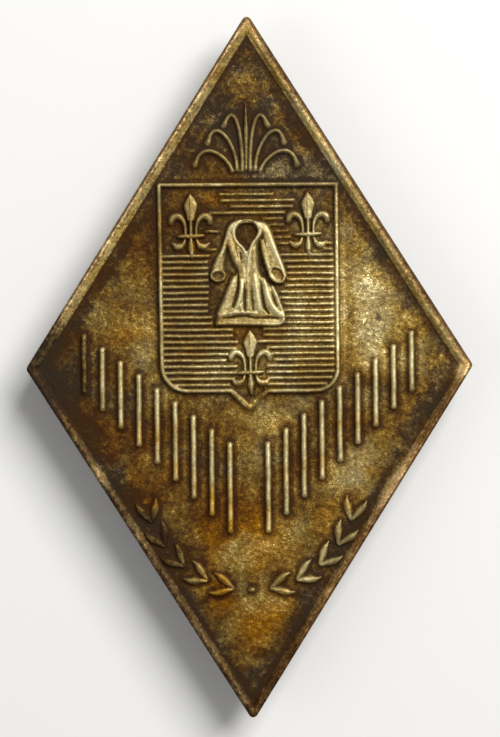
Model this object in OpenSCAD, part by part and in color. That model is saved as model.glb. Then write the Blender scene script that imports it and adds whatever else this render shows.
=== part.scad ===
// Struck brass lozenge badge with a brooch pin soldered to its back.
// Origin on the resting surface, under the middle of the badge.
// +Z is up out of the face, +Y runs to the top corner.

/* [Plate] */
// Full height of the lozenge, corner to corner
badge_h = 36; // [30:0.5:42]
// Full width of the lozenge, corner to corner
badge_w = 22.9; // [19:0.1:27]
// Radius that rounds each corner
corner_r = 0.25; // [0.1:0.05:0.5]
// Thickness of the plate from the back to the sunk ground
plate_t = 0.95; // [0.7:0.05:1.6]
// Bevel that worn striking leaves round the back edge
back_bevel = 0.12; // [0:0.02:0.3]

/* [Rim] */
// Height of the rim above the ground
rim_rise = 0.4; // [0.2:0.02:0.7]
// Width of the narrow outer slope of the rim
rim_out = 0.12; // [0.05:0.01:0.3]
// Width of the flat crest of the rim
rim_crest = 0.12; // [0.05:0.01:0.3]
// Width of the wide slope from the crest down to the ground
rim_in = 0.38; // [0.2:0.02:0.7]

/* [Shield] */
// Half width of the shield
shield_half_w = 4.55; // [4:0.05:5]
// Top edge of the shield, above the middle of the badge
shield_top = 9.52; // [9:0.02:10]
// Level bottom edge of the shield
shield_low = -1.06; // [-1.4:0.02:-0.8]
// Point under the middle of the shield
shield_tip = -1.92; // [-2.4:0.02:-1.5]
// Radius of the two lower corners
shield_r = 1; // [0.6:0.05:1.4]
// Width of the shield's line at its foot
shield_line = 0.26; // [0.18:0.01:0.36]
// Rise of the shield's line
shield_rise = 0.24; // [0.1:0.02:0.4]

/* [Hatching] */
// Number of level lines
hatch_rows = 32; // [30:1:32]
// Height of the top line above the middle of the badge
hatch_top = 9.04; // [8.9:0.02:9.1]
// Distance from line to line
hatch_pitch = 0.3165; // [0.31:0.0005:0.318]
// Width of one line at its foot
hatch_line = 0.2; // [0.14:0.01:0.24]
// Rise of one line
hatch_rise = 0.15; // [0.06:0.01:0.25]

/* [Figures] */
// Rise of the lily flowers
lily_rise = 0.28; // [0.15:0.01:0.4]
// Rise of the highest fold of the robe
robe_rise = 0.42; // [0.3:0.01:0.55]

/* [Ornament] */
// Number of upright reeds on each side
reed_count = 9; // [7:1:9]
// Distance from reed to reed
reed_step = 0.93; // [0.85:0.01:0.95]
// Width of a reed at its foot
reed_line = 0.25; // [0.18:0.01:0.34]
// Rise of the reeds
reed_rise = 0.26; // [0.12:0.01:0.36]
// Radius of the garland's arc
spray_r = 5.45; // [5.2:0.05:5.6]
// Height of the middle of the garland's arc
spray_mid = -5.86; // [-6:0.02:-5.7]
// Pairs of leaves on each side of the garland
spray_pairs = 5; // [4:1:5]
// Rise of the leaves and of the fronds
spray_rise = 0.18; // [0.1:0.01:0.3]

/* [Brooch pin] */
// Height of the fastening, from the resting surface to the back
pin_h = 2.05; // [1.9:0.05:2.6]
// Length of the strip that is soldered on
strip_l = 18; // [16:0.5:20]
// Width of the strip
strip_w = 2.6; // [2.2:0.1:3.2]
// Thickness of the strip
strip_t = 0.35; // [0.3:0.05:0.5]
// Diameter of the pin stem
stem_d = 0.7; // [0.6:0.05:0.8]
// Length of the point of the stem
point_l = 2; // [1:0.1:3]
// Film of solder between the strip and the back
solder_gap = 0.03; // [0.02:0.01:0.05]

/* [Hidden] */

// Half of the angle at the top corner
tip_angle = atan(badge_w / badge_h);
// The sharp lozenge is a little larger, because rounding takes its corners back
half_h = badge_h / 2 + corner_r * (1 / sin(tip_angle) - 1);
half_w = badge_w / 2 + corner_r * (1 / cos(tip_angle) - 1);
// Distance from the middle of the lozenge to each straight side
side_r = half_w * half_h / sqrt(half_w * half_w + half_h * half_h);
ground_z = pin_h + plate_t;
rim_z = ground_z + rim_rise;
rim_w = rim_out + rim_crest + rim_in;
// Depth that each ridge is sunk in the plate
sink = 0.15;

// A point along a smooth curve that is steered by four points
function bend(p, t) = pow(1 - t, 3) * p[0] + 3 * t * pow(1 - t, 2) * p[1]
    + 3 * t * t * (1 - t) * p[2] + pow(t, 3) * p[3];

// Rows of hatching and where the lines break for the figures.
// Columns: first row, last row, end of the left line, start of the right line
hatch_breaks = [
    [10, 10, -2.00, 1.75],
    [11, 11, -2.10, 1.90],
    [12, 14, -2.08, 2.08],
    [15, 15, -2.05, 2.00],
    [16, 17, -2.08, 1.72],
    [18, 19, -2.12, 1.92],
    [20, 21, -1.90, 2.02],
    [22, 23, -0.84, 0.88],
    [24, 24, -0.58, 0.58],
    [25, 25, -0.62, 1.02],
    [26, 26, -1.10, 1.30],
    [27, 27, -1.20, 1.40],
    [28, 29, -0.62, 1.02],
    [30, 30, -0.75, 1.05],
    [31, 31, -1.02, 1.05]
];

// Short lines that are left of the hatching beside the upper lilies.
// Columns: row, left end, right end
hatch_short = [
    [0, -1.35, 1.30],
    [1, -1.30, 2.38],
    [2, -0.80, 2.30],
    [3, -1.85, 1.90],
    [4, 0.85, 1.80],
    [5, 1.15, 1.85],
    [6, -2.10, -1.50],
    [6, 1.20, 2.05],
    [7, 1.35, 2.20],
    [8, 1.50, 2.35],
    [8, 3.75, 4.30],
    [9, -2.25, -1.65],
    [9, 3.95, 4.30]
];

// Lily flowers. Columns: middle x, middle y of the band
lilies = [
    [-2.90, 6.85],
    [3.16, 6.90],
    [0.10, -0.18]
];

// Strokes of a lily, right of its middle, mirrored for the left.
// Columns: x, y, width, then x, y, width of the other end, then share of the rise
lily_side = [
    [0.30, 0.10, 0.11, 0.34, 0.52, 0.13, 0.6],
    [0.34, 0.52, 0.13, 0.47, 0.88, 0.16, 0.7],
    [0.47, 0.88, 0.16, 0.72, 1.08, 0.22, 0.8],
    [0.72, 1.08, 0.22, 0.98, 0.98, 0.24, 0.8],
    [0.98, 0.98, 0.24, 1.10, 0.70, 0.18, 0.7],
    [0.00, 0.00, 0.24, 0.62, 0.02, 0.20, 0.9],
    [0.30, -0.16, 0.10, 0.46, -0.42, 0.20, 0.6],
    [0.46, -0.42, 0.20, 0.68, -0.54, 0.24, 0.7],
    [0.68, -0.54, 0.24, 0.94, -0.40, 0.10, 0.6]
];

// Strokes on the middle line of a lily.
// Columns: y, width, then y, width of the other end, then share of the rise
lily_mid = [
    [2.14, 0.06, 1.62, 0.62, 1.0],
    [1.62, 0.62, 0.72, 0.18, 1.0],
    [0.72, 0.18, 0.00, 0.18, 0.9],
    [0.00, 0.16, -0.62, 0.32, 1.0],
    [-0.62, 0.32, -1.06, 0.08, 0.9]
];

// Folds of the robe.
// Columns: x, y, width, share of the rise, then the same for the other end
robe_folds = [
    [-0.02, 7.72, 0.22, 0.70, -0.42, 7.58, 0.26, 0.78],
    [-0.42, 7.58, 0.26, 0.78, -0.70, 7.18, 0.30, 0.86],
    [-0.70, 7.18, 0.28, 0.86, -0.58, 6.72, 0.20, 0.80],
    [-0.58, 6.72, 0.20, 0.80, -0.24, 6.24, 0.18, 0.80],
    [-0.24, 6.24, 0.18, 0.80, -0.06, 5.76, 0.16, 0.76],
    [-0.02, 7.72, 0.22, 0.70, 0.38, 7.58, 0.24, 0.80],
    [0.38, 7.58, 0.24, 0.80, 0.64, 7.20, 0.32, 0.92],
    [0.64, 7.20, 0.30, 0.92, 0.46, 6.78, 0.30, 0.84],
    [0.46, 6.78, 0.30, 0.84, 0.18, 6.30, 0.26, 0.84],
    [0.18, 6.30, 0.26, 0.84, 0.00, 5.60, 0.22, 0.80],
    [0.00, 5.60, 0.24, 0.80, -0.02, 5.00, 0.50, 0.80],
    [-0.82, 7.20, 0.36, 0.72, -1.16, 6.60, 0.36, 0.72],
    [-1.16, 6.60, 0.36, 0.72, -1.40, 5.85, 0.46, 0.76],
    [-1.40, 5.85, 0.46, 0.76, -1.58, 5.10, 0.66, 0.72],
    [-1.58, 5.10, 0.66, 0.72, -1.54, 4.80, 0.72, 0.58],
    [-0.84, 6.95, 0.42, 0.66, -0.68, 6.10, 0.60, 0.62],
    [-0.68, 6.10, 0.60, 0.62, -0.42, 5.10, 0.50, 0.66],
    [0.86, 7.20, 0.44, 0.96, 1.22, 6.50, 0.42, 1.00],
    [1.22, 6.50, 0.44, 1.00, 1.50, 5.70, 0.40, 0.94],
    [1.50, 5.70, 0.40, 0.94, 1.80, 4.72, 0.28, 0.80],
    [0.90, 6.40, 0.34, 0.76, 1.02, 5.50, 0.44, 0.78],
    [1.02, 5.50, 0.44, 0.78, 1.20, 4.95, 0.44, 0.76],
    [1.20, 4.95, 0.40, 0.76, 1.52, 4.58, 0.40, 0.62],
    [1.52, 4.62, 0.40, 0.62, 1.76, 4.70, 0.30, 0.70],
    [0.40, 6.55, 0.40, 0.72, 0.28, 5.60, 0.44, 0.60],
    [0.28, 5.60, 0.44, 0.60, 0.32, 5.00, 0.60, 0.70],
    [-0.36, 5.05, 0.40, 0.70, 0.42, 5.00, 0.50, 0.72],
    [-0.68, 4.72, 0.34, 0.60, -1.02, 3.75, 0.50, 0.66],
    [-1.02, 3.75, 0.50, 0.66, -1.40, 2.82, 0.60, 0.66],
    [-0.30, 4.90, 0.36, 0.78, -0.36, 4.10, 0.26, 0.86],
    [-0.36, 4.10, 0.26, 0.86, -0.72, 3.02, 0.24, 0.74],
    [-0.36, 4.10, 0.22, 0.80, -0.44, 3.02, 0.20, 0.74],
    [0.02, 4.90, 0.36, 0.78, -0.02, 3.00, 0.22, 0.70],
    [0.34, 4.90, 0.36, 0.80, 0.42, 4.00, 0.28, 0.84],
    [0.42, 4.00, 0.28, 0.84, 0.56, 3.00, 0.28, 0.80],
    [0.66, 4.70, 0.34, 0.80, 1.02, 3.75, 0.34, 0.92],
    [1.02, 3.75, 0.34, 0.92, 1.62, 2.72, 0.34, 0.86],
    [1.04, 4.36, 0.24, 0.70, 1.52, 3.55, 0.20, 0.76],
    [1.52, 3.55, 0.20, 0.76, 1.80, 2.62, 0.22, 0.80],
    [-1.52, 2.72, 0.20, 0.62, -0.90, 2.86, 0.20, 0.68],
    [-0.90, 2.86, 0.20, 0.68, 0.36, 2.92, 0.22, 0.68],
    [0.36, 2.92, 0.22, 0.66, 1.16, 2.82, 0.22, 0.50],
    [-1.66, 2.50, 0.26, 0.56, -0.60, 2.42, 0.30, 0.62],
    [-0.60, 2.42, 0.30, 0.62, 0.60, 2.40, 0.28, 0.58],
    [0.60, 2.40, 0.28, 0.58, 1.50, 2.36, 0.24, 0.72],
    [1.50, 2.36, 0.24, 0.72, 1.82, 2.60, 0.20, 0.78]
];

// Cloth that lies flat between the folds.
// Columns: x, y of four corners, then share of the rise
robe_flats = [
    [-0.62, 4.95, 0.70, 4.95, 1.60, 2.62, -1.50, 2.62, 0.34],
    [-0.72, 6.60, -0.20, 5.90, -0.20, 4.90, -0.72, 5.40, 0.34],
    [0.30, 6.10, 0.66, 6.10, 0.72, 4.90, -0.10, 4.90, 0.34]
];

// Round openings of the robe: neck and both cuffs.
// Columns: x, y, half width, half height, turn in degrees, floor as a share of the rise
robe_holes = [
    [-0.07, 7.10, 0.44, 0.45, 0, 0.05],
    [-1.50, 4.86, 0.24, 0.17, 0, 0.12],
    [1.42, 4.98, 0.19, 0.27, 32, 0.20]
];

// Fronds of the upper ornament, right of its middle, mirrored for the left.
// Columns: foot x, foot y, two steering points x, y, then tip x, y
fronds = [
    [0.20, 10.30, 0.18, 12.50, 0.62, 13.95, 1.12, 12.60],
    [0.46, 10.30, 0.52, 11.90, 1.70, 13.10, 1.96, 11.70],
    [0.72, 10.25, 1.00, 11.10, 2.30, 11.90, 2.62, 10.60]
];

// One low bead of relief: wide at its foot, narrow at its crown
module bead(x, y, w, rise, sides = 6) {
    translate([x, y, ground_z - sink])
        cylinder(h = sink + rise, d1 = w * 1.25, d2 = w * 0.36, $fn = sides);
}

// A ridge between two beads
module ridge(x1, y1, w1, rise1, x2, y2, w2, rise2, sides = 6) {
    hull() {
        bead(x1, y1, w1, rise1, sides);
        bead(x2, y2, w2, rise2, sides);
    }
}

// A level line of hatching
module level_line(x1, x2, y) {
    foot = hatch_line / 2;
    crown = foot * 0.36;
    translate([x1, y, 0])
        rotate([90, 0, 90])
            linear_extrude(height = x2 - x1)
                polygon([
                    [-foot, ground_z - sink],
                    [foot, ground_z - sink],
                    [foot, ground_z],
                    [crown, ground_z + hatch_rise],
                    [-crown, ground_z + hatch_rise],
                    [-foot, ground_z]
                ]);
}

// Outline of the lozenge with its corners rounded
module lozenge() {
    offset(r = corner_r, $fn = 40)
        scale((side_r - corner_r) / side_r)
            polygon([[half_w, 0], [0, half_h], [-half_w, 0], [0, -half_h]]);
}

// A slab of the lozenge whose sides slope from one inset to another
module lozenge_slab(z1, inset1, z2, inset2) {
    first = (side_r - inset1) / side_r;
    last = (side_r - inset2) / side_r;
    translate([0, 0, z1])
        linear_extrude(height = z2 - z1, scale = last / first)
            scale(first)
                lozenge();
}

// Plate with its raised rim and sunk ground
module blank() {
    difference() {
        union() {
            lozenge_slab(pin_h, back_bevel, pin_h + back_bevel, 0);
            lozenge_slab(pin_h + back_bevel, 0, rim_z - rim_out, 0);
            lozenge_slab(rim_z - rim_out, 0, rim_z, rim_out);
        }
        lozenge_slab(ground_z, rim_w, rim_z + 0.001, rim_out + rim_crest);
    }
}

// Line of the shield
module shield() {
    w = shield_half_w;
    turn = [for (a = [0:18:90]) [w - shield_r + shield_r * cos(a), shield_low + shield_r - shield_r * sin(a)]];
    half = concat([[0, shield_top], [w, shield_top]], turn, [[0.95, shield_low], [0.05, shield_tip]]);
    for (side = [-1, 1])
        for (i = [0:len(half) - 2])
            ridge(side * half[i][0], half[i][1], shield_line, shield_rise,
                side * half[i + 1][0], half[i + 1][1], shield_line, shield_rise);
}

// Level hatching that fills the shield round the figures
module hatching() {
    edge = shield_half_w - 0.22;
    for (b = hatch_breaks)
        for (row = [b[0]:b[1]])
            if (row < hatch_rows) {
                y = hatch_top - row * hatch_pitch;
                // The lower corners of the shield shorten the last lines
                drop = max(0, shield_low + shield_r - y);
                cut = shield_r - sqrt(max(0, shield_r * shield_r - drop * drop));
                level_line(-edge + cut, b[2], y);
                level_line(b[3], edge - cut, y);
            }
    for (s = hatch_short)
        level_line(s[1], s[2], hatch_top - s[0] * hatch_pitch);
}

// One lily flower
module lily() {
    for (m = lily_mid)
        ridge(0, m[0], m[1], lily_rise * m[4], 0, m[2], m[3], lily_rise * m[4]);
    for (side = [-1, 1])
        for (s = lily_side)
            ridge(side * s[0], s[1], s[2], lily_rise * s[6], side * s[3], s[4], s[5], lily_rise * s[6]);
}

// The robe, laid flat with its sleeves down
module robe() {
    difference() {
        union() {
            for (f = robe_folds)
                ridge(f[0], f[1], f[2], robe_rise * f[3], f[4], f[5], f[6], robe_rise * f[7]);
            for (f = robe_flats)
                translate([0, 0, ground_z - sink])
                    linear_extrude(height = sink + robe_rise * f[8])
                        polygon([[f[0], f[1]], [f[2], f[3]], [f[4], f[5]], [f[6], f[7]]]);
        }
        for (h = robe_holes)
            translate([h[0], h[1], ground_z + robe_rise * h[5]])
                rotate(h[4])
                    scale([h[2], h[3], 1])
                        cylinder(h = 1, r1 = 0.9, r2 = 1.3, $fn = 14);
        // The neck opening runs down into a narrow slit
        hull() {
            translate([-0.07, 6.85, ground_z + robe_rise * 0.05])
                cylinder(h = 1, r = 0.3, $fn = 8);
            translate([-0.06, 6.28, ground_z + robe_rise * 0.05])
                cylinder(h = 1, r = 0.04, $fn = 8);
        }
    }
}

// Upright reeds under the shield, stepped to a broad V
module reeds() {
    for (side = [-1, 1])
        for (i = [0:reed_count - 1]) {
            x = 0.98 + i * reed_step;
            high = -4.60 + 0.76 * x;
            low = high - 4.60 + 0.21 * x;
            ridge(side * x, high, reed_line, reed_rise, side * x, low, reed_line, reed_rise);
        }
}

// Garland of small leaves in pairs along an arc, with a bead in the middle
module garland() {
    turn = 77 / (spray_pairs + 0.2);
    bead(0.1, spray_mid - spray_r, 0.42, spray_rise, 8);
    for (side = [-1, 1])
        for (i = [1:spray_pairs])
            translate([0.1, spray_mid, 0])
                rotate(side * i * turn)
                    translate([0, -spray_r, 0])
                        for (lean = [-1, 1])
                            mirror([side < 0 ? 1 : 0, 0, 0]) {
                                ridge(-0.28, 0.04 * lean, 0.12, spray_rise * 0.8,
                                    0.10, 0.24 * lean, 0.30, spray_rise);
                                ridge(0.10, 0.24 * lean, 0.30, spray_rise,
                                    0.46, 0.36 * lean, 0.08, spray_rise * 0.7);
                            }
}

// Spray of curled fronds about an upright leaf, in the upper corner of the field
module upper_ornament() {
    steps = 8;
    ridge(0, 10.30, 0.14, spray_rise * 0.8, 0, 12.2, 0.40, spray_rise);
    ridge(0, 12.2, 0.40, spray_rise, 0, 13.75, 0.08, spray_rise * 0.8);
    for (side = [-1, 1])
        for (f = fronds) {
            p = [[f[0], f[1]], [f[2], f[3]], [f[4], f[5]], [f[6], f[7]]];
            for (i = [0:steps - 1]) {
                a = bend(p, i / steps);
                b = bend(p, (i + 1) / steps);
                ridge(side * a[0], a[1], 0.22, spray_rise, side * b[0], b[1], 0.22, spray_rise);
            }
            // The tip ends in a small round bead
            bead(side * f[6], f[7], 0.42, spray_rise * 1.1, 8);
        }
}

// The struck badge: plate, rim and all of its relief are one piece
module badge_plate() {
    color("darkgoldenrod") {
        blank();
        shield();
        hatching();
        for (l = lilies)
            translate([l[0], l[1], 0])
                lily();
        robe();
        reeds();
        garland();
        upper_ornament();
    }
}

// One cheek of the hinge, rounded at its foot
module cheek() {
    tall = pin_h - solder_gap - strip_t + 0.1;
    difference() {
        translate([0, -1, 0])
            cube([0.5, 2, tall]);
        for (side = [-1, 1])
            translate([-0.1, side * 1, 0])
                rotate([45, 0, 0])
                    cube([0.7, 0.5, 0.5], center = true);
    }
}

// The fastening: strip, hinge, stem and catch hook are one piece
module brooch_pin() {
    strip_z = pin_h - solder_gap - strip_t;
    hinge_y = -strip_l / 2 + 1.6;
    hook_y = strip_l / 2 - 2.4;
    hook_l = 1.6;
    stem_z = strip_z / 2;
    stem_l = hook_y + hook_l + 0.7 - hinge_y;
    hook_in = stem_d / 2 + 0.13;
    hook_out = stem_z + 0.12;
    color("silver") {
        // Strip with round ends
        translate([0, 0, strip_z]) {
            translate([-strip_w / 2, -strip_l / 2 + strip_w / 2, 0])
                cube([strip_w, strip_l - strip_w, strip_t]);
            for (side = [-1, 1])
                translate([0, side * (strip_l / 2 - strip_w / 2), 0])
                    cylinder(h = strip_t, d = strip_w, $fn = 48);
        }
        // Hinge: two cheeks that the badge rests on, and the knuckle between them
        translate([-1.2, hinge_y, 0])
            cheek();
        translate([0.7, hinge_y, 0])
            cheek();
        translate([-1.1, hinge_y, stem_z])
            rotate([0, 90, 0])
                cylinder(h = 2.2, d = 1.3, $fn = 40);
        // Stem with its point
        translate([0, hinge_y, stem_z])
            rotate([-90, 0, 0]) {
                cylinder(h = stem_l - point_l, d = stem_d, $fn = 32);
                translate([0, 0, stem_l - point_l])
                    cylinder(h = point_l, d1 = stem_d, d2 = 0.16, $fn = 32);
            }
        // Catch hook, open to one side, flat where it rests
        translate([0, hook_y + hook_l, 0])
            rotate([90, 0, 0])
                linear_extrude(height = hook_l)
                    difference() {
                        union() {
                            intersection() {
                                translate([0, stem_z])
                                    circle(r = hook_out, $fn = 48);
                                translate([-2, 0])
                                    square([4, strip_z + 0.1]);
                            }
                            translate([-hook_out, stem_z])
                                square([hook_out * 1.6, strip_z - stem_z + 0.1]);
                        }
                        translate([0, stem_z])
                            circle(r = hook_in, $fn = 32);
                        translate([0, stem_z - hook_in])
                            square([2, hook_in * 2]);
                    }
    }
}

badge_plate();
brooch_pin();
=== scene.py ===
"""Strikes a lozenge badge in aged brass from drawn lines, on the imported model's frame."""

import math

import bpy
import numpy as np
from bpy.props import FloatProperty, FloatVectorProperty, IntProperty, PointerProperty
from mathutils import Matrix, Vector
from mathutils.geometry import delaunay_2d_cdt


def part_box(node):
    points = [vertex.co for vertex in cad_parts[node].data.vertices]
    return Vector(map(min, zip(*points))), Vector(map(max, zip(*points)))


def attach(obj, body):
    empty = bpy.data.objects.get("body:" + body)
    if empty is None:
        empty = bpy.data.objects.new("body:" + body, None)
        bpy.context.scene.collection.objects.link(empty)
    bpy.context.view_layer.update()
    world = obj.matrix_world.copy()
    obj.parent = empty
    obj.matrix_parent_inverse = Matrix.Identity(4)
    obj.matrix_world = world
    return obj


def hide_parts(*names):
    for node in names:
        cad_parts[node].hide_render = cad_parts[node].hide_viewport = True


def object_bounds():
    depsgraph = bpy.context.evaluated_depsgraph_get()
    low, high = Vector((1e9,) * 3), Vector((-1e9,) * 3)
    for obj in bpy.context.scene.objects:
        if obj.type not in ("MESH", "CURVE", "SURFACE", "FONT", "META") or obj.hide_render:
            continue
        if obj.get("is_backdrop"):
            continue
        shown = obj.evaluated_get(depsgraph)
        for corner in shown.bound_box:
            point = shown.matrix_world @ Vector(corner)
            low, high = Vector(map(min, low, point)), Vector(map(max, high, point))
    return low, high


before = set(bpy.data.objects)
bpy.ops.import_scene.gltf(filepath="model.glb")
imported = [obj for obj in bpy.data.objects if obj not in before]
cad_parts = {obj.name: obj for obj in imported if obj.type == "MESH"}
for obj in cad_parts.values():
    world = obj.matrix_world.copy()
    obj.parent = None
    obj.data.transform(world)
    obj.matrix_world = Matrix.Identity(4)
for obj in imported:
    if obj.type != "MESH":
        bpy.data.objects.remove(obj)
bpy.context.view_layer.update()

bl_info = {
    "name": "Struck lozenge badge",
    "version": (1, 0, 0),
    "blender": (4, 5, 0),
    "location": "View3D > Sidebar > Badge",
    "description": "Strikes a lozenge badge in aged brass from drawn lines",
    "category": "Object",
}

# A millimetre in metres, and the factor from metres to millimetres
MM, TO_MM = 0.001, 1000.0

# Levels of the relief over the sunk ground, in millimetres.
LEVEL = {"shield": 0.24, "hatch": 0.15, "lily": 0.28, "robe": 0.42, "reed": 0.26, "spray": 0.18}


# ---- Nodes written as maths ----


class Wire:
    """One socket of a node tree, so that maths on it adds its own nodes."""

    def __init__(self, bench, socket):
        self.bench = bench
        self.socket = socket

    def of(self, name):
        """Another output of the same node."""
        return Wire(self.bench, self.socket.node.outputs[name])

    def _many(self, other):
        return any(
            isinstance(w, Wire) and w.socket.type in {"VECTOR", "RGBA"} for w in (self, other)
        )

    def _sum(self, operation, other, turned=False):
        pair = [other, self] if turned else [self, other]
        kind = "ShaderNodeVectorMath" if self._many(other) else "ShaderNodeMath"
        return self.bench.add(kind, {"operation": operation}, dict(enumerate(pair)))

    def __add__(self, other):
        return self._sum("ADD", other)

    def __radd__(self, other):
        return self._sum("ADD", other, True)

    def __sub__(self, other):
        return self._sum("SUBTRACT", other)

    def __rsub__(self, other):
        return self._sum("SUBTRACT", other, True)

    def __mul__(self, other):
        return self._sum("MULTIPLY", other)

    def __rmul__(self, other):
        return self._sum("MULTIPLY", other, True)

    def __truediv__(self, other):
        return self._sum("DIVIDE", other)

    def __rtruediv__(self, other):
        return self._sum("DIVIDE", other, True)

    def most(self, other):
        """The larger of the two."""
        return self._sum("MAXIMUM", other)

    def least(self, other):
        """The smaller of the two."""
        return self._sum("MINIMUM", other)

    def soft_most(self, other, blend):
        """The larger of the two, with the join rounded off."""
        return self.bench.add(
            "ShaderNodeMath", {"operation": "SMOOTH_MAX"}, {0: self, 1: other, 2: blend}
        )

    def rise(self, low, high, start=0.0, end=1.0):
        """Goes smoothly from start to end while this goes from low to high."""
        return self.bench.add(
            "ShaderNodeMapRange",
            {"interpolation_type": "SMOOTHSTEP"},
            {0: self, 1: low, 2: high, 3: start, 4: end},
        )

    def ramp(self, low, high, start=0.0, end=1.0):
        """Goes evenly from start to end while this goes from low to high."""
        return self.bench.add("ShaderNodeMapRange", {}, {0: self, 1: low, 2: high, 3: start, 4: end})

    def length(self):
        """How long a vector is."""
        return self.bench.add("ShaderNodeVectorMath", {"operation": "LENGTH"}, {0: self}, "Value")

    def dot(self, other):
        """The dot product of two vectors."""
        return self.bench.add("ShaderNodeVectorMath", {"operation": "DOT_PRODUCT"}, {0: self, 1: other}, "Value")

    def part(self, axis):
        """The X, Y or Z of a vector."""
        return self.bench.add("ShaderNodeSeparateXYZ", {}, {0: self}, axis)


class Bench:
    """A node tree that is being built."""

    def __init__(self, tree):
        self.tree = tree

    def feed(self, socket, value):
        """Gives a socket a link or a value. One number fills all parts of a vector."""
        if isinstance(value, Wire):
            self.tree.links.new(value.socket, socket)
        elif isinstance(value, (int, float)) and socket.type in {"VECTOR", "RGBA"}:
            socket.default_value = [value] * len(socket.default_value)
        elif socket.type == "RGBA" and len(value) == 3:
            socket.default_value = [*value, 1.0]
        else:
            socket.default_value = value

    def add(self, kind, settings=None, feeds=None, out=0):
        """Adds a node: its settings first, then what its sockets get. Returns one output, if it has any."""
        node = self.tree.nodes.new(kind)
        for key, value in (settings or {}).items():
            if key == "stops":
                ramp = node.color_ramp
                while len(ramp.elements) < len(value):
                    ramp.elements.new(1.0)
                for stop, (place, colour) in zip(ramp.elements, value):
                    stop.position = place
                    stop.color = [*colour, 1.0]
            else:
                setattr(node, key, value)
        for key, value in (feeds or {}).items():
            self.feed(node.inputs[key], value)
        return Wire(self, node.outputs[out]) if node.outputs else node

    def mix(self, share, first, second):
        """Mixes two colours."""
        return self.add("ShaderNodeMix", {"data_type": "RGBA"}, {0: share, 6: first, 7: second}, 2)

    def tinted(self, share, first, tint):
        """Multiplies a colour by a tint, as far as the share says."""
        return self.mix(share, first, first * tuple(tint))

    def colours(self, share, *stops):
        """A colour from a ramp of colours."""
        return self.add("ShaderNodeValToRGB", {"stops": stops}, {"Fac": share})

    def noise(self, where, scale, detail, rough=0.5, warp=0.0):
        """Cloudy noise from 0 to 1."""
        return self.add(
            "ShaderNodeTexNoise",
            {"noise_dimensions": "3D"},
            {"Vector": where, "Scale": scale, "Detail": detail, "Roughness": rough, "Distortion": warp},
        )


class Recipe(Bench):
    """A geometry tree with an object and sizes as its inputs, which ends in real, painted geometry."""

    def __init__(self, name, *sizes, thing=None, count=None):
        super().__init__(bpy.data.node_groups.new(name, "GeometryNodeTree"))
        inputs = [("Geometry", "Geometry"), (thing, "Object"), (count, "Int")]
        inputs += [(label, "Float") for label in sizes] + [("Material", "Material")]
        face = self.tree.interface
        for label, kind in inputs:
            if label:
                face.new_socket(label, in_out="INPUT", socket_type="NodeSocket" + kind)
        face.new_socket("Geometry", in_out="OUTPUT", socket_type="NodeSocketGeometry")
        self.start = self.tree.nodes.new("NodeGroupInput")

    def given(self, label):
        """One of the tree's inputs."""
        return Wire(self, self.start.outputs[label])

    def named(self, label, kind="FLOAT"):
        """A value that the geometry carries."""
        return self.add("GeometryNodeInputNamedAttribute", {"data_type": kind}, {"Name": label})

    def keep(self, geometry, label, value, kind="FLOAT"):
        """Writes a value on the points of the geometry."""
        return self.add(
            "GeometryNodeStoreNamedAttribute",
            {"data_type": kind, "domain": "POINT"},
            {"Geometry": geometry, "Name": label, "Value": value},
        )

    def level_place(self):
        """Where each point is, seen from straight above."""
        place = self.add("GeometryNodeInputPosition")
        return self.add("ShaderNodeCombineXYZ", {}, {"X": place.part("X"), "Y": place.part("Y")})

    def shape_of(self, label):
        """The geometry of the object that is given."""
        return self.add("GeometryNodeObjectInfo", {}, {"Object": self.given(label)}, "Geometry")

    def away(self, geometry, kind, place):
        """Distance from a place to the geometry's edges or faces."""
        feeds = {"Geometry": geometry, "Sample Position": place}
        return self.add("GeometryNodeProximity", {"target_element": kind}, feeds, "Distance")

    def close(self, geometry):
        """Makes the geometry real, paints it and ends the tree."""
        real = self.add("GeometryNodeRealizeInstances", {}, {"Geometry": geometry})
        painted = self.add("GeometryNodeSetMaterial", {}, {"Geometry": real, "Material": self.given("Material")})
        self.add("NodeGroupOutput", {}, {"Geometry": painted})
        return self.tree


def placed(name, data):
    """A new object in the scene."""
    piece = bpy.data.objects.new(name, data)
    bpy.context.scene.collection.objects.link(piece)
    return piece


def work(piece, tree, **given):
    """Runs a geometry tree on a piece and keeps the result as its plain mesh."""
    step = piece.modifiers.new(tree.name, "NODES")
    step.node_group = tree
    for item in tree.interface.items_tree:
        key = item.name.lower().replace(" ", "_")
        if item.in_out == "INPUT" and key in given:
            step[item.identifier] = given.pop(key)
    if given:
        raise RuntimeError(f"{tree.name} has no input for {sorted(given)}")
    bpy.context.view_layer.update()
    whole = piece.evaluated_get(bpy.context.evaluated_depsgraph_get())
    made = bpy.data.meshes.new_from_object(whole)
    piece.modifiers.remove(step)
    old = piece.data
    piece.data = made
    made.name = piece.name
    if old.users == 0:
        bpy.data.meshes.remove(old)
    return piece


# ---- Drawings: what the die has cut in it, in millimetres ----

# Where the middle of the drawing sits on the blank, and how far the lilies sit off their places in it
SEAT, LILY_SEAT = (-0.09, -0.15), (0.02, 0.04)

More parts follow.
